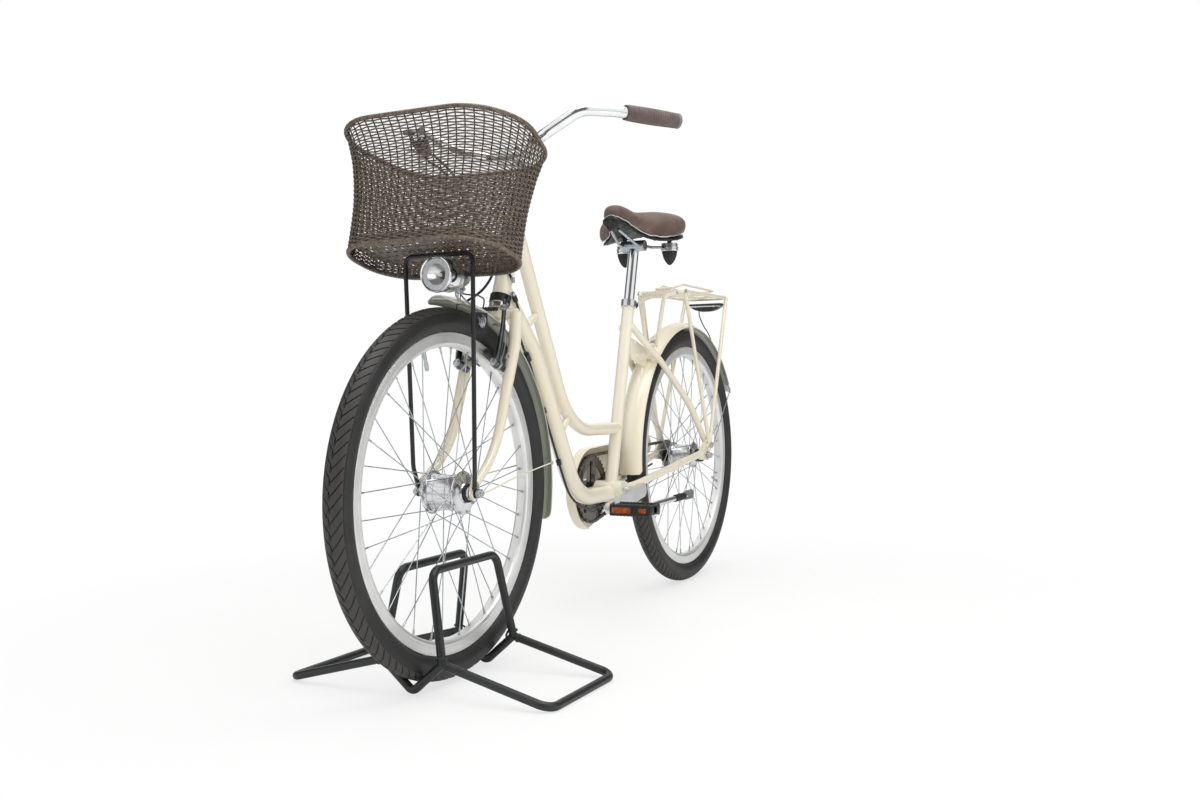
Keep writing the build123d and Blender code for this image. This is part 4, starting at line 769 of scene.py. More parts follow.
# %% The basket's outline at any height
BASKET_FOOT = np.array([0.594, 0.0, 0.744])
TILT = math.radians(15)
BASKET_AHEAD = np.array([math.cos(TILT), 0.0, math.sin(TILT)])
BASKET_UP = np.array([-math.sin(TILT), 0.0, math.cos(TILT)])
WALL_HEIGHT = 0.225
WALL_INSET = 0.0035
flare_curve = smooth_line([(0.0, 0.0), (0.4, 0.04), (0.7, 0.3), (0.88, 0.65), (1.0, 1.0)], 12)


# Depth, front, back and corner radius of the outline at the foot, and how much the flare adds to each.
FOOT_SIZE = mm([188, 322, 322, 84])
FLARE_SIZE = mm([84, 104, 6, 22])
BACK_HOLLOW = 0.03


def basket_outline(height, inset, count):
    """Places (ahead, left) spread evenly round the wall: a four-sided outline with large round corners."""
    flare = float(np.interp(height / WALL_HEIGHT, flare_curve[:, 0], flare_curve[:, 1]))
    depth, front, back, radius = FOOT_SIZE + FLARE_SIZE * flare - [2 * inset, 2 * inset, 2 * inset, inset]
    back -= BACK_HOLLOW * flare**2
    corners = np.array([(depth, -front), (depth, front), (-depth, back), (-depth, -back)]) / 2
    return evenly(rounded(corners, radius, 12), count, True)


def in_basket(flat, height):
    """Places (ahead, left) at a height above the basket's foot, as places in the bicycle."""
    ahead, left = flat[..., 0, None], flat[..., 1, None]
    return BASKET_FOOT + ahead * BASKET_AHEAD + left * LEFT + np.asarray(height)[..., None] * BASKET_UP


def outward(flat):
    """Directions that point out of a closed outline."""
    along = unit(np.roll(flat, -1, axis=0) - np.roll(flat, 1, axis=0))
    return np.stack([along[:, 1], -along[:, 0]], axis=1)


# %% Weavers and stakes
STAKES = 62
STEPS = 4
SWING = 0.0012
WEAVER_SIZE = [0.0010, 0.00155]
ALONG_STAKE = BASKET_AHEAD + LEFT * 0.3


def level_path(height, inset, count):
    """The outline at one height as places in the bicycle."""
    return in_basket(basket_outline(height, inset, count), np.full(count, height))


# The rows below the floor stand closer than the ones above it.
rows = np.concatenate([np.arange(0.0088, 0.024, 0.0034), np.linspace(0.0272, 0.2150, 44)])
wave = np.cos(np.pi * np.arange(STAKES * STEPS) / STEPS)
weaver_paths = []
for number, height in enumerate(rows):
    flat = basket_outline(height, WALL_INSET, STAKES * STEPS)
    swing = SWING * wave * (-1) ** number
    weaver_paths.append(in_basket(flat + swing[:, None] * outward(flat), np.full(len(flat), height)))
weave = tubes(np.array(weaver_paths), np.tile(WEAVER_SIZE, (STAKES * STEPS, 1)), 6, True, BASKET_UP)
piece("basket_weavers", FORK, weave, RATTAN, ["basket"], 80)

stake_heights = np.linspace(0.002, 0.219, 16)
stake_lines = np.stack([level_path(height, WALL_INSET, STAKES) for height in stake_heights], axis=1)
doubled = stake_lines[[2, 6]] + 0.0028 * LEFT
stake_sizes = ((stake_lines, 0.00125), (doubled, 0.0013))
stakes = [tubes(lines, radius, 6, reference=ALONG_STAKE) for lines, radius in stake_sizes]
piece("basket_stakes", FORK, joined(*stakes), DARK_RATTAN, sharp=80)


# %% [markdown]
# The rim and the foot are rolls: the ends of the stakes are laid down and bound by a strand that winds round
# them, one turn every 4 mm. A roll is a tube whose radius rises and falls along a helix, so that each turn of
# the strand stands proud. The floor is a mat of long strands that run fore and aft, over and under cross bars.


# %% Wrapped rolls and the floor
def wrapped_roll(path, radius, pitch, groove, sides=10):
    """Radius = r - groove (1 - |sin(winding + half the turn)|), where the winding goes up by pi each pitch."""
    length = np.linalg.norm(path - np.roll(path, 1, axis=0), axis=1).sum()
    winds = round(length / pitch)
    along = unit(np.roll(path, -1, axis=0) - np.roll(path, 1, axis=0))
    side = unit(np.cross(along, BASKET_UP))
    over = np.cross(side, along)
    turn = circle(sides)[None, :]
    winding = np.pi * winds * np.arange(len(path))[:, None] / len(path)
    reach = (radius - groove * (1 - np.abs(np.sin(winding + turn / 2))))[..., None]
    cos, sin = np.cos(turn)[..., None], np.sin(turn)[..., None]
    return grid(path[:, None] + reach * (cos * side[:, None] + sin * over[:, None]), True, True)


rim_roll = wrapped_roll(level_path(0.2204, WALL_INSET, 1160), 0.0043, 0.0042, 0.0009)
foot_roll = wrapped_roll(level_path(0.0042, 0.0042, 900), 0.0041, 0.0042, 0.0008)
piece("basket_rolls", FORK, joined(rim_roll, foot_roll), RATTAN, sharp=80)

# The mat's strands run fore and aft, and their ends turn down between the wall's strands.
MAT_POINTS = 25
MAT_LEVEL = 0.0231
MAT_DIP = 0.0011
floor_flat = basket_outline(0.02, 0.0082, 400)
front_edge = floor_flat[floor_flat[:, 0] > 0]
front_edge = front_edge[np.argsort(front_edge[:, 1])]
lines = np.arange(-0.1488, 0.15, 0.0085)
reach = np.interp(lines, front_edge[:, 1], front_edge[:, 0])
station = np.arange(MAT_POINTS)
share = np.linspace(-1, 1, MAT_POINTS)
turned = np.minimum(station, station[::-1])
share[[1, -2]] = -0.985, 0.985
mat = np.stack([reach[:, None] * share, lines[:, None] + 0 * share], axis=-1)
dip = MAT_DIP * np.cos(np.pi * station / 2) * ((-1) ** np.arange(len(lines)))[:, None]
rise = np.where(turned == 0, 0.006, np.where(turned == 1, 0.0205, MAT_LEVEL + dip))
mat_strands = tubes(in_basket(mat, rise), np.tile([0.0039, 0.0013], (MAT_POINTS, 1)), 6, reference=BASKET_UP)
piece("basket_floor_mat", FORK, mat_strands, RATTAN, sharp=80)
cross_at = np.linspace(-0.078, 0.078, 9)
left_edge = floor_flat[floor_flat[:, 1] > 0][::-1]
half_width = np.interp(cross_at, left_edge[:, 0], left_edge[:, 1])
share = np.linspace(-1, 1, 9)
cross = np.stack([cross_at[:, None] + 0 * share, half_width[:, None] * share], axis=-1)
cross_bars = tubes(in_basket(cross, np.full(cross.shape[:2], MAT_LEVEL)), 0.0016, 6, reference=BASKET_UP)
piece("basket_floor_bars", FORK, cross_bars, DARK_RATTAN, sharp=80)

# %% [markdown]
# ## The saddle
# A comfort saddle is a foam pad on a moulded pan, wide behind and narrow in front, under a stretched cover.
# Its form is a row of cross sections along its length: crowned above, widest part way down, drawn in to the
# lower edge, and arched upwards underneath between the two wings. The cover is then blown up a little by a
# cloth simulation, which draws it tight as foam does.

# %% Saddle form
saddle_low, saddle_high, _ = node_box("saddle")
SADDLE_REAR = saddle_low[0]
SADDLE_RUN = saddle_high[0] - saddle_low[0]
# share of the length from the back, half width, crown, lower edge, rise of the arch underneath
saddle_table = np.array([
    (0.000, 0.062, -0.020, -0.044, 0.004),
    (0.012, 0.080, -0.009, -0.048, 0.008),
    (0.050, 0.096, -0.002, -0.053, 0.014),
    (0.130, 0.1035, 0.000, -0.059, 0.022),
    (0.250, 0.1050, -0.001, -0.067, 0.031),
    (0.350, 0.1035, -0.0035, -0.072, 0.038),
    (0.430, 0.0950, -0.0065, -0.075, 0.042),
    (0.510, 0.0740, -0.0090, -0.075, 0.045),
    (0.600, 0.0500, -0.0095, -0.068, 0.042),
    (0.710, 0.0355, -0.0040, -0.055, 0.032),
    (0.820, 0.0290, 0.0000, -0.044, 0.023),
    (0.900, 0.0265, 0.0005, -0.039, 0.017),
    (0.950, 0.0220, -0.0035, -0.037, 0.011),
    (0.975, 0.0130, -0.0140, -0.034, 0.004),
])
saddle_line = smooth_line(saddle_table, 6)


SADDLE_COLUMNS = 64
LOW_EDGE = 0.866


def saddle_surface(shrink=0.0, turns=circle(SADDLE_COLUMNS)):
    """Place along s and turn t. Above the waist, left = width cos t and height = waist + rise sin t, both to a
    power below one, for a rounded box. Below it the side draws in, and the underside arches between edges."""
    share, width, crown, edge, arch = (saddle_line[:, k][:, None] for k in range(5))
    turn = turns[None, :]
    cos, sin = np.cos(turn), np.sin(turn)
    waist = edge + 0.36 * (crown - edge)
    above = sin >= 0
    below = np.clip(-sin / 0.5, 0, 1)
    drawn_in = np.where(below < 1, np.sign(cos) * (1 - 0.07 * below**2), cos / LOW_EDGE * 0.93)
    side = np.where(above, np.sign(cos) * np.abs(cos) ** 0.78, drawn_in)
    drop = np.where(below < 1, waist + (edge - waist) * below, edge + arch * (1 - (cos / LOW_EDGE) ** 2))
    height = np.where(above, waist + (crown - waist) * np.abs(sin) ** 0.8, drop)
    channel = 0.006 * np.exp(-((share - 0.2) / 0.18) ** 2) * np.exp(-((side / 0.16) ** 2)) * above
    x = SADDLE_REAR + shrink + (SADDLE_RUN - 2 * shrink) * share + 0 * turn
    inset = np.where(above, -shrink * np.abs(sin), shrink * (below >= 1) * 0.3)
    y = (width - shrink) * side
    return np.stack(np.broadcast_arrays(x, y, saddle_high[2] + height + inset - channel), axis=-1)


form = grid(capped(saddle_surface(0.003))[::-1], close_columns=True)
saddle = piece("saddle_cover", "frame", form, LEATHER, ["saddle"], 80)


# %% Blow the cover up tight
VOXEL = 0.0042
LAST_FRAME = 20


def places_of(mesh):
    """A mesh's points as rows of three."""
    flat = np.empty(len(mesh.vertices) * 3)
    mesh.vertices.foreach_get("co", flat)
    return flat.reshape(-1, 3)


def blow_up(made, pressure, cap):
    """Remeshes the cover evenly and presses it out as cloth for 20 frames. No point moves more than the cap."""
    remesh = made.modifiers.new("even", "REMESH")
    remesh.mode = "VOXEL"
    remesh.voxel_size = VOXEL
    with bpy.context.temp_override(object=made, active_object=made, selected_objects=[made]):
        bpy.ops.object.modifier_apply(modifier="even")
    before = places_of(made.data)
    cloth = made.modifiers.new("cover", "CLOTH")
    cloth.settings.use_pressure = True
    cloth.settings.uniform_pressure_force = pressure
    cloth.settings.effector_weights.gravity = 0
    cloth.settings.tension_stiffness = cloth.settings.compression_stiffness = 25
    for number in range(1, LAST_FRAME + 1):
        scene.frame_set(number)
    step = places_of(made.evaluated_get(bpy.context.evaluated_depsgraph_get()).data) - before
    made.modifiers.remove(cloth)
    scene.frame_set(1)
    length = np.linalg.norm(step, axis=1, keepdims=True)
    after = before + step * np.minimum(1, cap / np.maximum(length, 1e-9))
    made.data.vertices.foreach_set("co", after.ravel())
    made.data.polygons.foreach_set("use_smooth", np.ones(len(made.data.polygons), bool))
    made.data.update()
    print(f"{made.name} grew by at most {min(cap, length.max()) * 1000:.1f} mm")


blow_up(saddle, 4.0, 0.0045)
soften = saddle.modifiers.new("soften", "SUBSURF")
soften.levels = soften.render_levels = 1

# %% [markdown]
# A thin silver welt is sewn in round the lower edge. It lies on the cover's own surface: each of its points
# is moved to the nearest place on the cover. Under the arch is the black moulded pan with its ribs, and two
# rubber cone springs hang in stacked silver collars below the wings.


# %% Welt, pan and springs
def nearest_on(made, places):
    """The nearest places on a piece's surface."""
    tree = BVHTree.FromObject(made, bpy.context.evaluated_depsgraph_get())
    return np.array([tuple(tree.find_nearest(Vector(place))[0]) for place in places])


edge = saddle_surface(0.0, np.array([-np.pi / 6]))[:, 0]
edge_loop = evenly(np.vstack([edge, (edge * [1, -1, 1])[::-1]]), 160, True)
edge_loop = nearest_on(saddle, edge_loop + [0, 0, -0.001])
edge_loop = (np.roll(edge_loop, 1, axis=0) + 2 * edge_loop + np.roll(edge_loop, -1, axis=0)) / 4
piece("saddle_welt", "frame", tube(edge_loop, 0.0013, 10, True), STRIPE, sharp=80)

PAN_TOP, PAN_UNDER, PAN_COLUMNS = 0.002, 0.0078, 41
arch_turns = np.linspace(np.pi * 7 / 6 + 0.08, np.pi * 11 / 6 - 0.08, PAN_COLUMNS)
pan = saddle_surface(0.0, arch_turns)[3:-3]
long_ribs = 0.0016 * (np.abs(np.arange(PAN_COLUMNS) % 8 - 4) < 1.5)
cross_ribs = 0.0012 * (np.arange(len(pan)) % 9 == 4)[:, None]
pan_under = pan - UP * (PAN_UNDER + (long_ribs + cross_ribs))[..., None]
shell = capped(np.concatenate([pan - UP * PAN_TOP, pan_under[:, ::-1]], axis=1))
piece("saddle_pan", "frame", grid(shell, close_columns=True), PLASTIC, sharp=40)

springs, collars = [], []
spring_low, spring_high, _ = node_box("saddle_springs")
for side in SIDES:
    top = np.array([spring_low[0] + 0.015, side * (spring_high[1] - 0.015), spring_high[2]])
    fall = np.linspace(0, 1, 22)
    ribs = 0.0003 * np.cos(2 * np.pi * fall * 9) * (fall < 0.9)
    ribs = np.stack([-0.004 - 0.035 * fall, 0.0188 * np.clip(1 - fall**1.7, 0, 1) ** 0.62 + ribs], axis=1)
    springs.append(lathe(np.vstack([[(0, 0), (0, 0.0170), (-0.003, 0.0188)], ribs])[::-1], top, UP, 28))
    stack = mm(
        [
            (-5, 0), (-5, 20), (-3.5, 21.8), (-1.5, 21.8), (-1, 19.6), (1, 19.6), (1.5, 22.2), (4, 22.2),
            (4.5, 17.8), (7.5, 16), (10.5, 12.5), (12.5, 0)
        ]
    )
    collars.append(lathe(stack, top, UP, 40))
    post = mm([(0, 0), (0, 5.5), (24, 5.5), (26, 9), (34, 9.5), (34, 0)])
    springs.append(lathe(post, top + [0, 0, 0.008], UP, 24))
piece("saddle_spring_cones", "frame", joined(*springs), RUBBER, ["saddle_springs"], 50)
piece("saddle_spring_collars", "frame", joined(*collars), CHROME)

# %% [markdown]
# ## Grips, twist shifter and brake lever
# The grips are brown rubber sleeves with rounded ridges round them, each closed by a grey plug. On the right
# a short twist shifter sits inside the grip, ribbed along its length for the fingers, and the brake lever
# hangs below it from a clamp. Nearly all are turned about the bar, so they are outlines carried round its line.

# %% The line of the handlebar
bar_clamp = on_steering(0.676, 0.062)
BAR_END = bar_clamp + [-0.146, 0.296, 0.064]
bar_bend = bar_clamp + [-0.020, 0.226, 0.066]
BAR_ALONG = unit(BAR_END - bar_bend)
TO_RIGHT = np.array([1.0, -1.0, 1.0])


def ridged(outline, centre, axis, ridges, depth, count=96):
    """An outline of (along, radius, share of depth) carried round an axis, with its radius lowered by
    depth times the square of half the cosine of ridges turns, so that round ridges run along it."""
    outline = np.asarray(outline, float)
    points, quads = lathe(outline[:, :2], (0, 0, 0), axis, count)
    turn = circle(count)
    fall = depth * outline[:, 2, None] * (0.5 + 0.5 * np.cos(ridges * turn)) ** 2
    spokes = points.reshape(len(outline), count, 3)
    out = spokes - outline[:, 0, None, None] * unit(axis)
    size = np.maximum(np.linalg.norm(out, axis=-1, keepdims=True), 1e-9)
    return (np.asarray(centre) + spokes - out / size * fall[..., None]).reshape(-1, 3), quads


# %% Grips and their plugs
sleeves, plugs = [], []
for length, way in ((0.125, np.ones(3)), (0.095, TO_RIGHT)):
    along = np.linspace(0, 1, 120)
    rings = 0.00055 * np.cos(2 * np.pi * along * length / 0.0058) * np.clip(np.sin(np.pi * along) * 6, 0, 1)
    swell = 0.0147 + 0.0011 * np.sin(np.pi * np.clip(along * 1.15, 0, 1)) ** 0.8 - 0.0006 * (along > 0.97)
    wall = np.stack([-length + (length - 0.001) * along, swell + rings - 0.0002], axis=1)
    outline = np.vstack([[(-length, 0.0112), (-length, 0.0142)], wall, [(-0.0005, 0.0135), (-0.0005, 0.011)]])
    sleeves.append(lathe(outline, BAR_END * way, BAR_ALONG * way, 40))
    dome = mm([(-4, 0), (-4, 14.1), (0, 15), (1.6, 14.8), (2.6, 13.5), (2.9, 9), (2.2, 7.5), (2.2, 0)])
    plugs.append(lathe(dome, BAR_END * way, BAR_ALONG * way, 40))
piece("grip_sleeves", FORK, joined(*sleeves), FOAM, ["grips"], 60)
piece("grip_plugs", FORK, joined(*plugs), GREY)

# %% Twist shifter
shift_at = (BAR_END - BAR_ALONG * 0.122) * TO_RIGHT
shift_way = BAR_ALONG * TO_RIGHT
drum_line = [
    (0.0005, 0.0112, 0), (0.0005, 0.0165, 0), (0.002, 0.0178, 0.3), (0.005, 0.0179, 1), (0.019, 0.0174, 1),
    (0.0235, 0.0172, 0.4), (0.0245, 0.0160, 0), (0.0245, 0.0112, 0)
]
piece(
    "shifter_drum", FORK, ridged(drum_line, shift_at, shift_way, 24, 0.0012, 144), RUBBER,
    ["gear_shifter"], 50
)
window_ring = lathe(
    mm([(24.8, 11.2), (24.8, 17.2), (26.5, 17.9), (28.5, 17.2), (29.2, 11.2)]), shift_at, shift_way, 48
)
outlet_line = shift_at + mm([(6, 4, 8), (22, -6, 10), (36, -12, 6)])
outlet = tube(outlet_line, mm([5, 4.5, 3.4]), 14)
piece("shifter_housing", FORK, joined(window_ring, outlet), PLASTIC)

# %% Brake lever
perch_at = (BAR_END - BAR_ALONG * 0.1215) * TO_RIGHT
perch_foot = perch_at - shift_way * 0.007
hinge = perch_foot - UP * 0.034
clamp_band = lathe(
    mm([(-14, 11.3), (-14, 14.8), (-12, 15.1), (-2, 15.1), (-0.5, 14.6), (-0.5, 11.3)]), perch_at, shift_way, 36
)
neck_line = [perch_foot - UP * 0.012, perch_foot - UP * 0.024, hinge]
neck = tube(neck_line, mm([(6.6, 6.2), (6.2, 5.6), (7.2, 4.8)]), 16, reference=LEFT)
barrel_line = [(0, 0, 0), (0, 0.0042, 0), (0.003, 0.0045, 1), (0.009, 0.0045, 1)]
barrel_line += [(0.010, 0.0034, 0), (0.017, 0.0034, 0), (0.017, 0, 0)]
barrel = ridged(barrel_line, hinge + mm([6, -4, 6]), (0.7, -0.55, 0.12), 12, 0.0007, 48)
piece("lever_clamp", FORK, joined(clamp_band, neck), POWDER, ["brake_lever"])
blade_run = mm([(34, 46), (78, 42.5), (112, 46.5), (117.5, 48)])
blade_line = [perch_at + shift_way * inwards - UP * down for inwards, down in blade_run]
blade_line = smooth_line([hinge + UP * 0.004, hinge - UP * 0.008 + shift_way * 0.012, *blade_line], 8)
share = np.linspace(0, 1, len(blade_line))
blade_size = np.stack([0.0052 + 0.0018 * share, 0.0034 + 0.0006 * share - 0.0012 * (share > 0.96)], axis=1)
lever_blade = joined(
    tube(blade_line, blade_size, 14, reference=UP), barrel, bolt(hinge + [0, 0, 0.0052], UP, 0.0038, 0.003)
)
piece("lever_blade", FORK, lever_blade, ALLOY)

# %% [markdown]
# ## Headlamp
# A bullet headlamp is a chromed shell drawn from sheet, with a rolled rim that holds a clear lens before a
# silvered bowl. The bowl is a paraboloid, radius squared = 4 times the focal length times the depth, which
# sends the bulb's light straight ahead. The lens is moulded with fine flutes that spread it sideways.

# %% Shell, rim, bowl, bulb and lens
LAMP_FRONT = np.array([0.616, 0.024, 0.7176])
LENS_FLUTE = 0.0024
shell_line = smooth_line(mm([(-98.5, 0), (-97.5, 5.2), (-80, 16), (-52, 24.9), (-22, 29.2), (-1, 29.4)]), 8)


def lamp_part(name, outline, material, count, replaces=()):
    """A part turned about the lamp's own line. Its outline is reversed, so that the faces look outwards."""
    piece(name, FORK, lathe(outline[::-1], LAMP_FRONT, AHEAD, count), material, replaces)


rim_line = [(0, 31.2), (0.8, 31.6), (6.2, 31.6), (7.8, 30.8), (8, 29.4), (7, 28.4), (5.5, 28), (0, 27.6)]
inner_line = [(-22, 27.6), (-50, 23.2), (-60, 0)]
lamp_part(
    "headlamp_shell", np.vstack([shell_line, mm(rim_line + inner_line)]), CHROME, 72, ["headlamp"]
)
seal_line = mm([(-1.2, 29), (-1.2, 30.3), (0.1, 30.3), (0.1, 29)])
lamp_part("headlamp_seal", seal_line, RUBBER, 72)
BOWL_DEPTH, BOWL_RADIUS = 0.0225, 0.0272
depth = np.linspace(0.0016, BOWL_DEPTH, 14)
bowl_inner = np.stack([-0.0185 + depth, BOWL_RADIUS * np.sqrt(depth / BOWL_DEPTH)], axis=1)
bowl = np.vstack([bowl_inner, (bowl_inner + mm([-0.8, 0.2]))[::-1], bowl_inner[:1]])
lamp_part("headlamp_bowl", bowl, REFLECTOR, 60)
holder = [(-20, 0), (-20, 7.2), (-15, 7.2), (-13.5, 6.2), (-13.5, 4), (-10, 3.6), (-10, 0)]
lamp_part("headlamp_bulb_holder", mm(holder), PLASTIC, 32)
bulb_line = mm([(-10, 0), (-10, 3), (-8, 3.4), (-5.5, 3), (-4, 1.8), (-3.6, 0)])
lamp_part("headlamp_bulb", bulb_line, REFLECTOR, 24)
frosted_line = mm([(3.3, 18.6), (3.3, 27.4), (4.1, 27.4), (4.1, 18.6), (3.3, 18.6)])
lamp_part("headlamp_lens_ring", frosted_line, FROST, 64)


def fluted_lens(centre, radius, front, back, pitch):
    """A disc whose front is domed, x = front - 1.2 mm (r / radius) squared, and whose back has round flutes:
    x = back + 0.06 mm |sin(pi y / pitch)|."""
    reach = np.concatenate([np.linspace(0, radius, 20), np.linspace(radius, 0, 40)])[:, None]
    turn = circle(96)[None, :]
    y, z = reach * np.cos(turn), reach * np.sin(turn)
    in_front = np.arange(60)[:, None] < 20
    flutes = 0.00006 * np.abs(np.sin(np.pi * y / pitch)) * (reach < radius * 0.97)
    x = np.where(in_front, front - 0.0012 * (reach / radius) ** 2, back + flutes)
    return grid(np.asarray(centre) + np.stack([x, y, z], axis=-1), close_columns=True)


piece(
    "headlamp_lens", FORK, fluted_lens(LAMP_FRONT, 0.0281, 0.0078, 0.0046, LENS_FLUTE), GLASS,
    sharp=60
)


# %% [markdown]
# A band clasps the shell and carries a smoked window on its left flank and the joint below, from which two
# rods run down to a bolt on the carrier's plate. Two short wires leave the joint.


# %% Band, window, joint and rods
def shell_radius(x):
    """The shell's radius at a distance from the lamp's front."""
    return np.interp(x, shell_line[:, 0], shell_line[:, 1])


band_x = np.linspace(-0.040, -0.030, 7)
band_rise = 0.0011 * np.array([0, 0.8, 1, 1, 1, 0.8, 0])
band = np.vstack(
    [np.stack([band_x, shell_radius(band_x) + band_rise], axis=1), [(-0.030, 0.024), (-0.040, 0.024)]]
)
band_body = lathe(np.vstack([band, band[:1]])[::-1], LAMP_FRONT, AHEAD, 64)
WINDOW_MIDDLE, WINDOW_HALF = -0.060, 0.0165
u, v = np.meshgrid(np.linspace(-1, 1, 19), np.linspace(-1, 1, 15), indexing="ij")
window_x = WINDOW_MIDDLE + WINDOW_HALF * u
window_turn = np.radians(-8) + np.radians(34) * v * (1 - 0.18 * u)
dome = np.clip(1 - np.abs(u) ** 5, 0, 1) * np.clip(1 - np.abs(v) ** 5, 0, 1)


def window_wall(over_shell):
    """The window's places at a height over the shell."""
    reach = shell_radius(window_x) + over_shell
    return LAMP_FRONT + np.stack([window_x, reach * np.cos(window_turn), reach * np.sin(window_turn)], axis=-1)


window = np.concatenate([window_wall(0.0022 * dome**0.6 - 0.0006), window_wall(-0.0012)[:, ::-1]], axis=1)
piece("headlamp_window", FORK, grid(window[::-1], close_columns=True), WINDOW, sharp=50)

lamp_joint = LAMP_FRONT + [-0.062, 0.003, -0.024]
knuckle = block(lamp_joint + mm([0, 0, 1]), mm([8.5, 5, 6.5]), 0.0025)
lug_places = mm([(9.5, 0, 4), (-9.5, 0, 3)])
lugs = joined(*[block(lamp_joint + place, mm([4.5, 4.2, 3.6]), 0.0012) for place in lug_places])
joint_bolts = joined(
    bolt(lamp_joint + mm([0, 5, -1]), LEFT, 0.0038, 0.0026),
    nut(lamp_joint + mm([0, -5, -1]), -LEFT, 0.0036, 0.0022),
    *[bolt(lamp_joint + place + LEFT * 0.0042, LEFT, 0.0026, 0.002) for place in lug_places],
)
piece("headlamp_band", FORK, joined(band_body, knuckle, lugs, joint_bolts), ZINC)

left_knee = FRONT_AXLE + [0.013, 0.06475, 0.045]
left_top = np.array([0.577, 0.071, 0.7558])
lamp_bolt = left_knee + (left_top - left_knee) * 0.68 - [0.027, 0.003, 0]
rods = []
for step in mm([-7.2, 7.2]):
    offset = np.array([step, -0.28 * step, 0])
    stations = [
        lamp_bolt + offset * 0.8 + mm([0, 3.2, -4]), lamp_bolt + offset + mm([0.3, 3.4, 8]),
        (lamp_bolt + lamp_joint) / 2 + offset + mm([0, 1, 0]), lamp_joint + offset * 0.9 - UP * 0.010,
        lamp_joint + offset * 0.8,
    ]
    rods.append(tube(smooth_line(stations, 8), 0.0016, 10, reference=AHEAD))
near_washer = mm([(0, 0), (0, 9), (0.7, 9.4), (1.4, 9), (1.4, 0)])
far_washer = mm([(0, 0), (0, 7.2), (1.4, 7.2), (1.4, 0)])
washers = [
    lathe(near_washer, lamp_bolt + LEFT * 0.0042, LEFT, 36),
    bolt(lamp_bolt + LEFT * 0.0056, LEFT, 0.0046, 0.0036),
    lathe(far_washer, lamp_bolt - LEFT * 0.0016, -LEFT, 30),
    nut(lamp_bolt - LEFT * 0.003, -LEFT, 0.0055, 0.0035)
]
piece("lamp_bracket_rods", FORK, joined(*rods, *washers), ZINC, ["lamp_bracket"])
dangle = []
for step, drop in mm([(3, 30), (-4, 22)]):
    start = lamp_joint + [step - 0.004, -0.003, -0.003]
    fall = [
        start, start + mm([-4, -3, -10]), start + [-0.002, -0.004, -drop * 0.7], start + [0.003, -0.002, -drop]
    ]
    dangle.append(tube(smooth_line(fall, 8), 0.0009, 8, reference=AHEAD))
piece("headlamp_leads", FORK, joined(*dangle), RUBBER)

# %% [markdown]
# ## Front brake
# A linear-pull brake has two forged arms that pivot on bosses on the fork blades. The cable comes round a bent
# steel pipe to one arm's top, and its inner wire crosses to the other under a rubber bellows. Each arm is a
# flattened bar that is widest just above its eye and tapers towards its top. A pad is a block bent to the rim.

# %% Brake arms, springs, bolts and pads
PAD_RADIUS, PAD_DEGREES, PAD_SIDE = 0.2745, 118.0, 0.0205
PAD_HALF = 0.0278
PIVOT_UP, PINCH_UP = 0.252, 0.362
ARM_LINE = [
    (0.246, 0.0400), (0.262, 0.0415), (0.285, 0.0430), (0.318, 0.0422), (0.350, 0.0392), (0.371, 0.0368),
    (0.379, 0.0362)
]
SPRING_LINE = [(0.285, -0.002, 0.0525), (0.312, -0.001, 0.0492), (0.330, 0.0, 0.0462)]
HOLDER_LINE = mm(
    [(5, 0), (5, 7.2), (8, 6.6), (8.5, 4.2), (12, 4.2), (12, 7.2), (14.5, 7.2), (15, 3.6), (15, 0)]
)
BRAKE_AHEAD = 0.038
arms, fittings, pads, pad_holders = [], [], [], []
pad_block, pad_quads = block((0, 0, 0), (1, 1, 1), 0.25, fine=3)
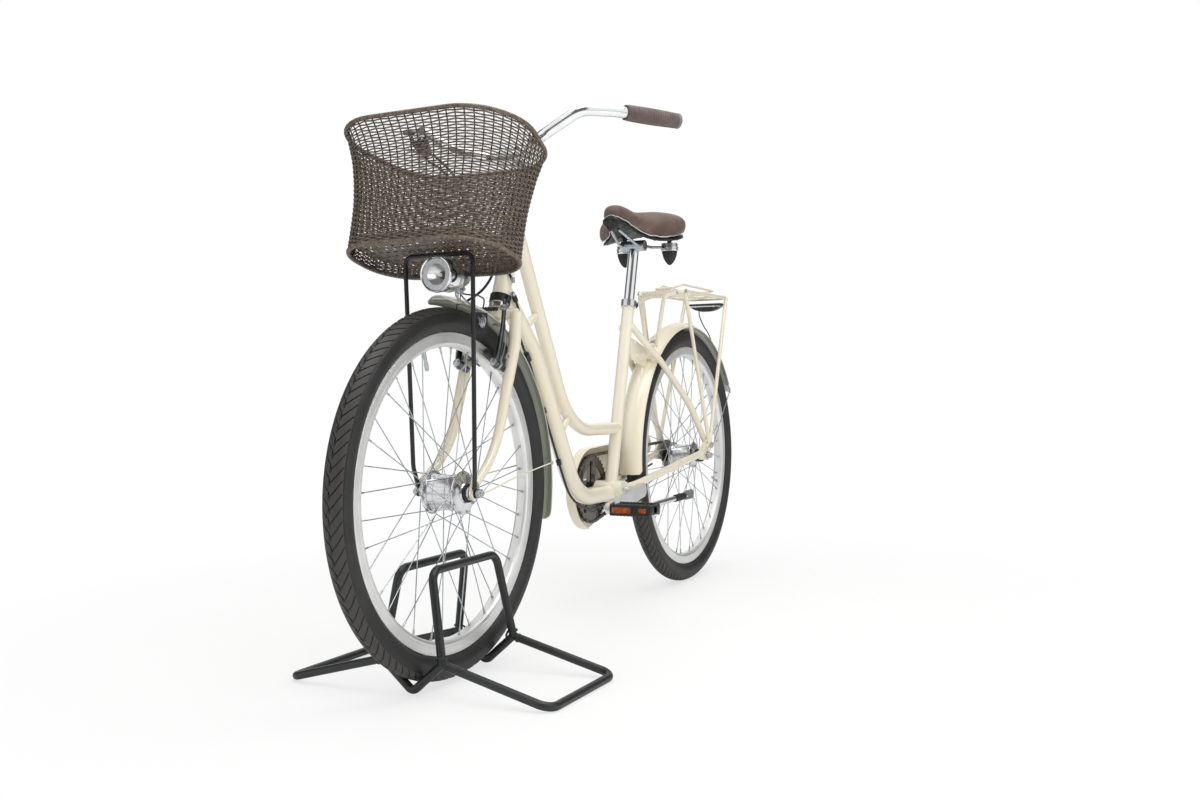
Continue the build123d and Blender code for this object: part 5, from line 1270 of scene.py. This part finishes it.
for side in SIDES:
    arm_line = smooth_line([on_steering(height, BRAKE_AHEAD, side * out) for height, out in ARM_LINE], 7)
    share = np.linspace(0, 1, len(arm_line))
    width = np.interp(share, [0, 0.1, 0.22, 0.4, 0.8, 0.93, 1], mm([6.6, 8.4, 7.2, 6.6, 4.8, 5.6, 4]))
    thick = np.interp(share, [0, 0.1, 0.4, 1], mm([5.2, 5.8, 4, 3]))
    arms.append(tube(arm_line, np.stack([width, thick], axis=1), 16, reference=LEFT))
    eye = on_steering(PIVOT_UP, BRAKE_AHEAD, side * 0.040)
    barrel_line = [(-30, 0), (-30, 6.6), (-8, 6.6), (-8, 8.4), (4, 8.8), (6.5, 8.2), (6.5, 0)]
    arms.append(lathe(mm(barrel_line), eye, STEER_AHEAD, 30))
    fittings.append(bolt(eye + STEER_AHEAD * 0.0066, STEER_AHEAD, 0.0056, 0.0042))
    spring_line = [on_steering(height, BRAKE_AHEAD + ahead, side * out) for height, ahead, out in SPRING_LINE]
    spring_line = smooth_line([eye + LEFT * side * 0.0094 - STEER_AHEAD * 0.003, *spring_line], 8)
    fittings.append(tube(spring_line, 0.0008, 8, reference=LEFT))
    coil_turn = np.linspace(0, 2 * np.pi * 3, 60)[:, None]
    coil = np.cos(coil_turn) * LEFT + np.sin(coil_turn) * STEER_UP
    coil = eye - STEER_AHEAD * (0.010 - 0.0018 * coil_turn / (2 * np.pi)) + 0.0092 * coil
    fittings.append(tube(coil, 0.0008, 8, reference=STEER_AHEAD))
    pinch = on_steering(PINCH_UP, BRAKE_AHEAD, side * 0.0372)
    fittings.append(bolt(pinch + STEER_AHEAD * 0.0036, STEER_AHEAD, 0.0050, 0.0046))
    fittings.append(nut(pinch - STEER_AHEAD * 0.0034, -STEER_AHEAD, 0.0045, 0.0034))

    turn = PAD_DEGREES - np.degrees(np.clip(pad_block[:, 0], -1, 1) * PAD_HALF / PAD_RADIUS)
    left = side * PAD_SIDE + pad_block[:, 1] * 0.0054
    pads.append((around(FRONT_AXLE, PAD_RADIUS + pad_block[:, 2] * 0.0050, turn, left), pad_quads[:, ::-1]))
    pad_middle = around(FRONT_AXLE, PAD_RADIUS, PAD_DEGREES, side * PAD_SIDE)
    pad_holders.append(lathe(HOLDER_LINE, pad_middle, LEFT * side, 24))
    pad_holders.append(nut(pad_middle + LEFT * side * 0.027, LEFT * side, 0.0058, 0.005))
piece("brake_arms", FORK, joined(*arms), ARM_ALLOY, ["front_brake"])
piece("brake_fittings", FORK, joined(*fittings, *pad_holders), ZINC)
piece("brake_pads", FORK, joined(*pads), RUBBER, ["brake_rubber"], 50)

# %% Bellows, noodle and wire
wire_at = on_steering(PINCH_UP, BRAKE_AHEAD)
FOLDS = 9
fold = np.linspace(0, 1, 73)
bellows_radius = 0.0038 + 0.0009 * np.cos(2 * np.pi * FOLDS * fold) * (np.minimum(fold, 1 - fold) > 0.02)
bellows = np.vstack([[(-0.026, 0)], np.stack([-0.026 + 0.052 * fold, bellows_radius], axis=1), [(0.026, 0)]])
piece("brake_bellows", FORK, lathe(bellows, wire_at, LEFT, 24), RUBBER, sharp=80)
ferrule_line = mm([(25.5, 0), (25.5, 3.6), (30, 3.6), (31.5, 2.4), (36, 2.4), (36, 0)])
ends = [lathe(ferrule_line, wire_at, LEFT * side, 20) for side in SIDES]
noodle_line = mm([(362, 38, -30), (362, 38, -41), (366, 39, -50), (376, 41, -55)])
noodle = tube(
    smooth_line([on_steering(*station) for station in noodle_line], 8), 0.0030, 12, reference=STEER_AHEAD
)
piece("brake_cable_ends", FORK, joined(*ends, noodle), CHROME)

# %% [markdown]
# ## Chain, chainring and sprocket
# A roller chain has a pitch of 12.7 mm: pairs of figure-eight plates, outer and inner by turns, on rollers.
# One link is modelled and set down along the loop round the two wheels of teeth. The loop is two arcs joined
# by their outer tangents, which leave each circle at the angle arcsin(difference of radii / distance).

# %% The loop of the chain
CHAIN_SIDE = 0.048
ring_centre = CRANK_AXLE - LEFT * CHAIN_SIDE
cog_centre = REAR_AXLE - LEFT * CHAIN_SIDE
RING_REACH, COG_REACH = 0.0768, 0.0364
span = ring_centre - cog_centre
lean = math.degrees(math.asin((RING_REACH - COG_REACH) / np.linalg.norm(span)))
slope = math.degrees(math.atan2(span[2], span[0]))
ring_arc = around(ring_centre, RING_REACH, slope + np.linspace(90 + lean, -90 - lean, 200))
cog_arc = around(cog_centre, COG_REACH, slope + np.linspace(270 - lean, 90 + lean, 120))
LINKS = 100
loop = evenly(np.vstack([ring_arc, cog_arc]), LINKS, True)
step_of = np.roll(loop, -1, axis=0) - loop
ahead_of = unit(step_of)
middle_of = loop + step_of / 2
pitch = float(np.linalg.norm(step_of, axis=1).mean())
print("chain pitch", round(pitch * 1000, 2), "mm,", LINKS, "links")


def link_plate(thickness, left):
    """A figure-eight plate: an arc round each pin, drawn in between them."""
    swing = np.radians(np.linspace(-62, 62, 5))
    ahead_end = np.stack([pitch / 2 + 0.0042 * np.cos(swing), 0.0042 * np.sin(swing)], axis=1)
    outline = np.vstack([ahead_end, [(0, 0.0029)], -ahead_end, [(0, -0.0029)]])
    return plate(outline, thickness, 0.0003, (0, left, 0), AHEAD, -UP)


def drum(half_width, radius, count):
    """A plain cylinder across the chain."""
    outline = [(-half_width, 0), (-half_width, radius), (half_width, radius), (half_width, 0)]
    return lathe(outline, (0, 0, 0), LEFT, count)


outer_link, inner_link = (
    joined(link_plate(0.0010, left), link_plate(0.0010, -left)) for left in (0.0035, 0.0023)
)
roller_and_pin = joined(drum(0.0018, 0.0038, 10), drum(0.0039, 0.0018, 8))
sideways = np.broadcast_to(LEFT, ahead_of.shape)
over_of = np.cross(ahead_of, sideways)
links = []
for part, start in ((outer_link, 0), (inner_link, 1)):
    ways = [way[start::2] for way in (ahead_of, sideways, over_of)]
    links.append(repeated(part, middle_of[start::2], *ways))
links.append(repeated(roller_and_pin, loop, ahead_of, sideways, over_of))
piece("chain_links", "frame", joined(*links), CHAIN_STEEL, ["chain"])


# %% Wheels of teeth
def toothed(centre, teeth, reach, inner, thickness, turn=0.0):
    """A ring with a tooth between each two rollers: its edge follows reach - 3.9 mm at a roller and rises to
    reach + 2.6 mm between them, as a raised cosine to a power, and thins to half its thickness at the tips."""
    step = circle(teeth * 10)
    rise = (0.5 - 0.5 * np.cos(teeth * (step - turn))) ** 1.3
    edge = reach - 0.0039 + 0.0065 * rise
    half = thickness / 2
    tip_half = half * (1 - 0.5 * rise)
    root = reach - 0.0055
    rows = [(inner, -half), (inner, half), (root, half), (edge, tip_half), (edge, -tip_half), (root, -half)]
    rows.append(rows[0])
    rows = [(radius + 0 * edge, height + 0 * edge) for radius, height in rows]
    points = np.stack([np.stack([r * np.cos(step), height, r * np.sin(step)], axis=1) for r, height in rows])
    return grid((np.asarray(centre) + points)[::-1], close_columns=True)


ARMS = 5
ARM_OUTLINE = rounded(mm([(12, -10.5), (64, -6.5), (64, 6.5), (12, 10.5)]), mm([2, 6, 6, 2]), 4)
arms = []
for number in range(ARMS):
    x = around(np.zeros(3), 1.0, 360 / ARMS * number + 18)
    arms += [
        plate(ARM_OUTLINE, 0.0045, 0.0008, ring_centre + LEFT * 0.0015, x, np.cross(x, LEFT)),
        bolt(ring_centre + x * 0.0585 - LEFT * 0.0016, -LEFT, 0.0046, 0.0016),
        bolt(ring_centre + x * 0.0585 + LEFT * 0.0040, LEFT, 0.0044, 0.0014),
    ]
ring_teeth = toothed(ring_centre, 38, RING_REACH, 0.0545, 0.0030)
spider_hub = lathe(mm([(-4.5, 0), (-4.5, 16.5), (3.6, 16.5), (4.2, 15), (4.2, 0)]), ring_centre, LEFT, 40)
piece("chainring_teeth", "crankset", joined(ring_teeth, *arms, spider_hub), GLOSS_BLACK, ["chainring"])
cog_low, cog_high, _ = node_box("rear_sprocket")
cog = toothed(cog_centre, 18, COG_REACH, 0.017, 0.0028, math.radians(10))
inwards, outwards = cog_high[1] + CHAIN_SIDE, cog_low[1] + CHAIN_SIDE
hub_line = [(outwards, 0.0165), (outwards, 0.0195), (-0.0018, 0.0205), (0.0018, 0.0205), (inwards, 0.0195)]
cog_hub = lathe([*hub_line, (inwards, 0.0165), hub_line[0]], cog_centre, LEFT, 40)
piece("rear_cog", "rear_wheel", joined(cog, cog_hub), CHAIN_STEEL, ["rear_sprocket"])

# %% [markdown]
# ## Pedals
# A plain city pedal is a black moulded body on a steel axle: two treads with a row of blunt teeth, joined by
# end plates, a barrel between them over the axle, and an amber reflector let into the front and the back.


# %% One pedal
def tread(centre, half, teeth):
    """A bar with a wavy top and bottom: height = half height - 1.4 mm (1 - |cos(pi teeth share)|)."""
    steps = teeth * 8 + 1
    share = np.linspace(0, 1, steps)[:, None]
    corner = np.radians(np.linspace(0, 360, 16, endpoint=False) + 11.25)[None, :]
    square = np.maximum(np.abs(np.cos(corner)), np.abs(np.sin(corner))) ** 0.7
    across_bar = half[0] * np.cos(corner) / square
    wave = half[2] - 0.0014 * (1 - np.abs(np.cos(np.pi * teeth * share)))
    up = wave * np.sin(corner) / square
    along = half[1] * (2 * share - 1) + 0 * corner
    skin = np.stack([across_bar + 0 * share, along, up], axis=-1)
    return grid(np.asarray(centre) + capped(skin), close_columns=True)


def pedal(body):
    """The treads, end plates, barrel with its dust cap, and reflectors, all named after their body."""
    low, high, middle = node_box(body)
    run = (high[1] - low[1]) / 2
    inner = np.sign(middle[1])
    parts = []
    for way in SIDES:
        parts.append(tread(middle + AHEAD * way * 0.0250, (0.0048, run - 0.003, 0.0129), 11))
        parts.append(tread(middle + AHEAD * way * 0.0125, (0.0024, run - 0.012, 0.0098), 8))
        parts.append(block(middle + LEFT * way * (run - 0.0045), (0.0268, 0.0045, 0.0105), 0.0035, fine=3))
    parts.append(block(middle, (0.0262, 0.0040, 0.0075), 0.002))
    outer_end = [(0.004 - run, 0), (0.004 - run, 0.0098), (0.016 - run, 0.0090)]
    inner_end = [(run - 0.018, 0.0082), (run - 0.006, 0.0098), (run - 0.001, 0.0098), (run, 0.0084), (run, 0)]
    parts.append(lathe(outer_end + inner_end, middle, LEFT * inner, 28))
    piece(f"{body}_body", body, joined(*parts), PLASTIC, [body], 42)
    lenses = []
    for ahead, left, half in ((30, -18, (1.3, 21.5, 6.2)), (29.6, 30, (1.3, 9, 5))):
        for way in SIDES:
            place = middle + AHEAD * way * mm(ahead) + LEFT * inner * mm(left)
            lenses.append(block(place, mm(half), 0.0008))
    piece(f"{body}_reflectors", body, joined(*lenses), AMBER)


pedal("left_pedal")
pedal("right_pedal")

# %% [markdown]
# ## Side stand
# The stand's leg is a polished alloy tube bent once below a forked head, which turns on a bolt under the
# chainstays. A black joint near its end lets a grey flat foot be set to the leg's length.

# %% Leg, head, joint and foot
kick_pivot = joint_place("kickstand_fold")
knee = kick_pivot + [-0.046, 0.010, -0.018]
toe = kick_pivot + [-0.256, 0.044, -0.006]
leg_start = [kick_pivot + mm([-4, 2, -2]), kick_pivot + mm([-26, 6.2, -10.8]), knee + mm([-4, 1, 0.2])]
leg_line = smooth_line([*leg_start, knee + (toe - knee) * 0.3, toe + (knee - toe) * 0.12], 8)
leg_way = unit(toe - knee)
leg = tube(leg_line, np.interp(np.linspace(0, 1, len(leg_line)), [0, 0.2, 1], mm([6.2, 7, 6.6])), 20)
fork_head = mm([(-8.5, 5.2), (-8.5, 12.2), (-7.5, 13), (9, 13), (9.9, 12), (9.9, 5.2), (-8.5, 5.2)])
head = joined(
    lathe(fork_head, kick_pivot, LEFT, 36),
    block(kick_pivot + [-0.014, 0.0035, -0.0058], (0.0105, 0.0085, 0.0088), 0.004, fine=3),
)
collars = joined(
    *[tube([toe - leg_way * (0.074 - a), toe - leg_way * (0.070 - a)], 0.0086, 18) for a in (0.0, 0.010)]
)
piece("kickstand_leg_tube", "kickstand", joined(leg, head), ALLOY, ["kickstand_leg"])
joint_line = np.array([toe - leg_way * d for d in (0.078, 0.077, 0.052, 0.040, 0.034, 0.033)])
joint_size = mm([(7.8, 7.8), (8.8, 8.8), (9.2, 9.2), (8.8, 8.8), (8.6, 8), (7, 6.6)])
joint_sleeve = tube(joint_line, joint_size, 20)
piece("kickstand_joint", "kickstand", joined(joint_sleeve, collars), RUBBER)
foot_line = smooth_line([toe + leg_way * along for along in mm([-36, -26, -10, 2, 8])], 6)
share = np.linspace(0, 1, len(foot_line))
foot_wide = np.interp(share, [0, 0.3, 0.85, 1], mm([8, 11.8, 12.4, 9.5]))
foot_size = np.stack([foot_wide, np.interp(share, [0, 0.25, 0.85, 1], mm([6.8, 5.8, 5.2, 3.6]))], axis=1)
piece(
    "kickstand_foot_pad", "kickstand", tube(foot_line, foot_size, 20, reference=LEFT), GREY,
    ["kickstand_foot"], 50
)
piece("kickstand_bolt", "kickstand", bolt(kick_pivot + LEFT * 0.0100, LEFT, 0.0060, 0.004), ZINC)

# %% [markdown]
# ## Axles, clamps and small bolts
# Each wheel is held by an axle whose hexagon nuts bear on the dropouts through washers. The smaller fixings
# are domed bolts, all one shape at different sizes, on the stem, the seat clamp, the rack and its mudguard.


# %% Axles with their nuts
def axle_and_nuts(node, axle, nut_start):
    """A threaded axle end, a washer and a hexagon nut on each side."""
    low, high = (corner[1] for corner in node_box(node)[:2])
    thread = [
        (low, 0), (low, 0.0042), (low + 0.0008, 0.0049), (high - 0.0008, 0.0049), (high, 0.0042), (high, 0)
    ]
    parts = [lathe(thread, axle, LEFT, 24)]
    washer = mm([(0, 0), (0, 8.9), (0.4, 9), (1.2, 9), (1.4, 8.6), (1.4, 0)])
    hexagon = mm([(1.2, 0), (1.2, 8.6), (6.6, 8.6), (7.6, 7.6), (7.6, 0)])
    for side in SIDES:
        seat = axle + LEFT * side * nut_start
        parts += [lathe(washer, seat, LEFT * side, 32), lathe(hexagon, seat, LEFT * side, 6)]
    return joined(*parts)


AXLES = (("front_axle", FORK, FRONT_AXLE, 0.0625), ("rear_axle", "frame", REAR_AXLE, 0.0700))
for node, body, axle, nut_start in AXLES:
    piece(f"{node}_nuts", body, axle_and_nuts(node, axle, nut_start), ZINC, [node], 30)

# %% Bolts on the stem, the seat clamp and the rack
stem_cap = mm([(0, 0), (0, 9.2), (1.6, 9.8), (3, 9), (3, 4.8), (0.8, 4.4), (0.8, 0)])
stem_bolts = joined(
    lathe(stem_cap, on_steering(0.688), STEER_UP, 32),
    *[bolt(bar_clamp - UP * 0.0172 - LEFT * side * 0.009, -UP, 0.0042, 0.0036) for side in SIDES],
)
piece("stem_bolts", FORK, stem_bolts, ZINC)
clamp_low, clamp_high, clamp_middle = node_box("seat_clamp")
clamp_ear = np.array([clamp_low[0] + 0.006, 0.0, clamp_middle[2] - 0.002])
ear_side = LEFT * (clamp_high[1] * 0.55)
seat_bolts = joined(
    bolt(clamp_ear + ear_side, LEFT, 0.0055, 0.0045), nut(clamp_ear - ear_side, -LEFT, 0.0052, 0.0042)
)
piece("seat_clamp_bolt", "frame", seat_bolts, POWDER)
RACK_TOP = 0.752
GUARD_BOLTS_AT = (53.5, 57.5)
rack_bolts = []
for side in SIDES:
    out = LEFT * side
    foot = REAR_AXLE + [-0.004, side * 0.0802, 0.026]
    rack_bolts += [
        bolt(foot - out * 0.002, out, 0.0056, 0.0040),
        bolt(np.array([-0.432, side * 0.0648, RACK_TOP]), out, 0.0036, 0.0026),
        bolt(np.array([-0.402, side * 0.0530, RACK_TOP - 0.0062]), out, 0.0032, 0.0024),
    ]
for angle in GUARD_BOLTS_AT:
    out = around(np.zeros(3), 1.0, angle)
    rack_bolts += [bolt(REAR_AXLE + out * 0.3505 + LEFT * side * 0.004, out, 0.0036, 0.0028) for side in SIDES]
piece("rack_bolts", "frame", joined(*rack_bolts), ZINC)

# %% [markdown]
# ## Tail light
# The tail light hangs under the rack's rear bar: a black top plate, a bright strip with two screws, and below
# it a black half shell in front of a red lens that is ribbed like a row of small prisms.

# %% Housing, strip and lens
tail_low, tail_high, tail_middle = node_box("tail_light")
tail_x, tail_half = tail_middle[0], (tail_high[1] - tail_low[1]) / 2
LIGHT_TOP = 0.7285
LENS_TOP = 0.7282
RIBS = 22
LENS_COLUMNS = 181


def low_edge(share, top, bottom):
    """The lower edge of a lens shape across its width: top - (top - bottom) (1 - |share| to the power 2.6)."""
    return top - (top - bottom) * (1 - np.abs(share) ** 2.6)


def half_moon(x_from, x_to, width, top, bottom, rows=25):
    """A body with that lower edge and a flat top, between two places ahead."""
    share = np.linspace(-1, 1, rows)
    level, edge = np.full(rows, top), low_edge(share, top, bottom)
    corners = ((x_from, level), (x_from, edge), (x_to, edge), (x_to, level))
    ring = np.stack([np.stack([np.full(rows, x), width * share, z], axis=1) for x, z in corners], axis=1)
    return grid(capped(ring), close_columns=True)


top_plate = block((tail_x, 0, 0.7352), (0.0148, tail_half - 0.0002, 0.0028), 0.0014, fine=3)
front_half = half_moon(tail_x - 0.001, tail_x + 0.0128, tail_half - 0.004, LIGHT_TOP, tail_low[2] + 0.0004)
piece("tail_light_housing", "frame", joined(top_plate, front_half), PLASTIC, ["tail_light"])
strip = block((tail_x, 0, 0.7305), (0.0136, tail_half - 0.0022, 0.0019), 0.0006)
screws = [bolt((tail_x + 0.0138, side * 0.026, 0.7305), AHEAD, 0.0022, 0.0010) for side in SIDES]
piece("tail_light_strip", "frame", joined(strip, *screws), ALLOY)
lens_share = np.linspace(-1, 1, LENS_COLUMNS)
lens_edge = low_edge(lens_share, LENS_TOP, tail_low[2])
lens_level = np.full(LENS_COLUMNS, LENS_TOP)
prism = 0.0008 * np.abs(np.sin(np.pi * RIBS * lens_share))
lens_rows = [
    (-0.0008 + 0 * prism, lens_level), (-0.0008 + 0 * prism, lens_edge), (-0.0118 - prism, lens_edge + 0.0006),
    (-0.0136 - prism, (lens_edge + LENS_TOP) / 2), (-0.0118 - prism, lens_level),
]
lens_left = (tail_half - 0.0035) * lens_share
lens_ring = np.stack([np.stack([tail_x + x, lens_left, z], axis=1) for x, z in lens_rows], axis=1)
piece("tail_light_lens", "frame", grid(capped(lens_ring), close_columns=True), RED)

# %% The tail light's wire
wire_start = mm([(6, -20, 717.5), (7, -18, 703), (8, -6, 676)]) + AHEAD * tail_x
wire_end = mm([(-740.5, 6, 656), (-736.5, 14.5, 638.5), (-737.5, 16.5, 629)])
wire_line = smooth_line([*wire_start, *wire_end], 8)
piece(
    "tail_light_lead", "frame", tube(wire_line, 0.0015, 10, reference=LEFT), RUBBER,
    ["tail_light_wire"]
)

# %% [markdown]
# ## Cable ends, and the joins of the floor stand
# Bright ferrules close the ends of the gear cable's housings. The stand is bent tube, welded at its four
# knees: a weld is a bead a little thicker than the tube.

# %% Ferrules
def ferrule(at, way, outline):
    """A turned cap at a cable's end, with its outline in millimetres."""
    return lathe(mm(outline), at, unit(way), 20)


def open_ferrule(at, towards, length):
    """A cap that the cable runs on through, with its length in millimetres."""
    outline = [(-2, 2.6), (-2, 3.6), (length - 1, 3.6), (length, 3.1), (length, 2.6)]
    return ferrule(at, towards - at, outline)


gear_start, gear_bend, gear_low, gear_end = mm(
    [(364, 26, 700), (350, 26, 681), (327.5, 12, 645), (316, 6, 618)]
)
ferrules = [open_ferrule(gear_start, gear_bend, 12), open_ferrule(gear_low, gear_end, 10)]
shift_end = mm([362, 26, 722])
shift_ferrule = ferrule(shift_end, mm([2, 0, 34]), [(-2, 0), (-2, 3.4), (9, 3.6), (10, 2.8), (10, 0)])
piece("cable_ferrules", FORK, shift_ferrule, ZINC)
piece("gear_cable_ferrules", "frame", joined(*ferrules), ZINC)

# %% Welds of the stand
knees = [(x, y) for x in (FRONT_AXLE[0] - 0.1175, FRONT_AXLE[0] + 0.1175) for y in (-0.060, 0.060)]
bead = mm([(-2.2, 7), (-1.4, 8.4), (0, 8.8), (1.4, 8.4), (2.2, 7)])
beads = []
for x, y in knees:
    out = unit(np.array([0, y, -0.3 * abs(y)]))
    for way in (UP * 0.011, out * 0.011, -out * 0.011):
        centre = np.array([x, y, 0.060]) + way
        beads.append(lathe(bead, centre, way, 28))
piece("stand_welds", FORK, joined(*beads), POWDER, sharp=80)

# %% [markdown]
# ## Floor, light and camera
# The bicycle stands on a plain pale floor under a large soft light, as in a catalogue. The world is white to
# the eye and gives a little less as light, so that ivory keeps its tone. Chrome needs something dark to
# reflect, or it looks like white paint: a studio stands black flags between its white walls for that. Here
# they are three upright dark bands in what mirrors see, a third of a turn apart, that fade out near the top.

# %% World
world = bpy.data.worlds.new("pale_studio")
scene.world = world
world.use_nodes = True
sky = world.node_tree
background = sky.nodes["Background"]
rays = add(sky, "ShaderNodeLightPath").outputs
seen = maths(sky, "MAXIMUM", rays["Is Camera Ray"], rays["Is Glossy Ray"])
clear = maths(sky, "MAXIMUM", seen, rays["Is Transmission Ray"])
level = remap(sky, clear, (0, 1), (0.55, 1.0))
FLAGS = 3
FLAG_AZIMUTH = math.radians(28.7)
generated = add(sky, "ShaderNodeTexCoord").outputs["Generated"]
way = add(sky, "ShaderNodeSeparateXYZ", links={"Vector": generated}).outputs
azimuth = maths(sky, "ARCTAN2", way["Y"], way["X"])
lobe = maths(sky, "COSINE", maths(sky, "MULTIPLY_ADD", azimuth, FLAGS, -FLAGS * FLAG_AZIMUTH))
flag = remap(sky, lobe, (-0.35, 0.45), (0.0, 0.84), smooth=True)
low_down = remap(sky, way["Z"], (0.7, 0.97), (1.0, 0.0), smooth=True)
dark = maths(sky, "MULTIPLY", flag, low_down)
mirrored_dark = maths(sky, "MULTIPLY", dark, rays["Is Glossy Ray"])
strength = maths(sky, "SUBTRACT", level, mirrored_dark)
background.inputs["Color"].default_value = linear("FFFFFF")
sky.links.new(strength, background.inputs["Strength"])

# %% [markdown]
# The floor is matt paper. Near the bicycle it takes the shadow, and further out it turns into the white of the
# background, as a paper sweep does: its share of plain white grows with the distance from the middle.


# %% Floor
def studio_floor(half):
    """A flat sheet of pale paper. Its share of white to the eye goes from 0.65 at the middle to 1 far out."""
    steps = np.linspace(-half, half, 9)
    ahead, left = np.meshgrid(steps, steps, indexing="ij")
    points, quads = grid(np.stack([ahead, left, np.full_like(ahead, -0.0002)], axis=-1))
    mesh = bpy.data.meshes.new("studio_floor")
    mesh.from_pydata(points.tolist(), [], quads.tolist())
    paper = finish("pale_paper", "FAFAF9", "F7F7F6", 0.75, 0.04, 0.5, 0.002, 0.00003)
    tree = paper.node_tree
    place = add(tree, "ShaderNodeTexCoord").outputs["Object"]
    distance = vector_maths(tree, "LENGTH", place, result="Value")
    far = remap(tree, distance, (0.5, 1.7), (0.65, 1.0), smooth=True)
    eye = add(tree, "ShaderNodeLightPath").outputs["Is Camera Ray"]
    share = maths(tree, "MULTIPLY", far, eye)
    white = add(tree, "ShaderNodeEmission", {"Color": linear("FFFFFF"), "Strength": 1.0})
    matt = tree.nodes["Principled BSDF"].outputs["BSDF"]
    mix = add(tree, "ShaderNodeMixShader", links={0: share, 1: matt, 2: white.outputs["Emission"]})
    tree.links.new(mix.outputs["Shader"], tree.nodes["Material Output"].inputs["Surface"])
    mesh.materials.append(paper)
    made = bpy.data.objects.new("studio_floor", mesh)
    scene.collection.objects.link(made)
    return made


studio_floor(9.0)


# %% [markdown]
# One large lamp overhead makes the long soft highlight on the tubes and the faint shadow on the floor. A
# second, lower and dimmer, stands beside the camera and opens the shadows on the near side. Mirrors do not
# see it, as if it were bounced off a wall, so the dark flags stay whole in the chrome.


# %% Lamps
def soft_lamp(name, place, target, width, height, watts):
    """An area lamp that faces its target."""
    light = bpy.data.lights.new(name, "AREA")
    light.shape = "RECTANGLE"
    light.size, light.size_y = width, height
    light.energy = watts
    lamp = bpy.data.objects.new(name, light)
    lamp.location = place
    lamp.rotation_euler = (Vector(target) - Vector(place)).to_track_quat("-Z", "Y").to_euler()
    scene.collection.objects.link(lamp)
    return lamp


soft_lamp("overhead_softbox", (0.3, 0.4, 3.2), (0, 0, 0.4), 3.0, 3.0, 60)
near_side = soft_lamp("near_side_softbox", (2.2, 2.6, 1.8), (0, 0, 0.5), 2.0, 2.0, 36)
near_side.visible_glossy = False

# %% Camera
RIGHT = Vector((-0.439030, 0.898331, -0.015905))
CAMERA_UP = Vector((-0.022967, 0.006475, 0.999715))
FORWARD = Vector((-0.898179, -0.439271, -0.017789))
lens = bpy.data.cameras.new("camera")
lens.lens = 34.8
lens.sensor_width = 36.0
camera = bpy.data.objects.new("camera", lens)
CAMERA_PLACE = Vector((2.293249, 1.151680, 0.532613))
turn = Matrix([RIGHT, CAMERA_UP, -FORWARD]).transposed()
camera.matrix_world = Matrix.Translation(CAMERA_PLACE) @ turn.to_4x4()
scene.collection.objects.link(camera)
scene.camera = camera
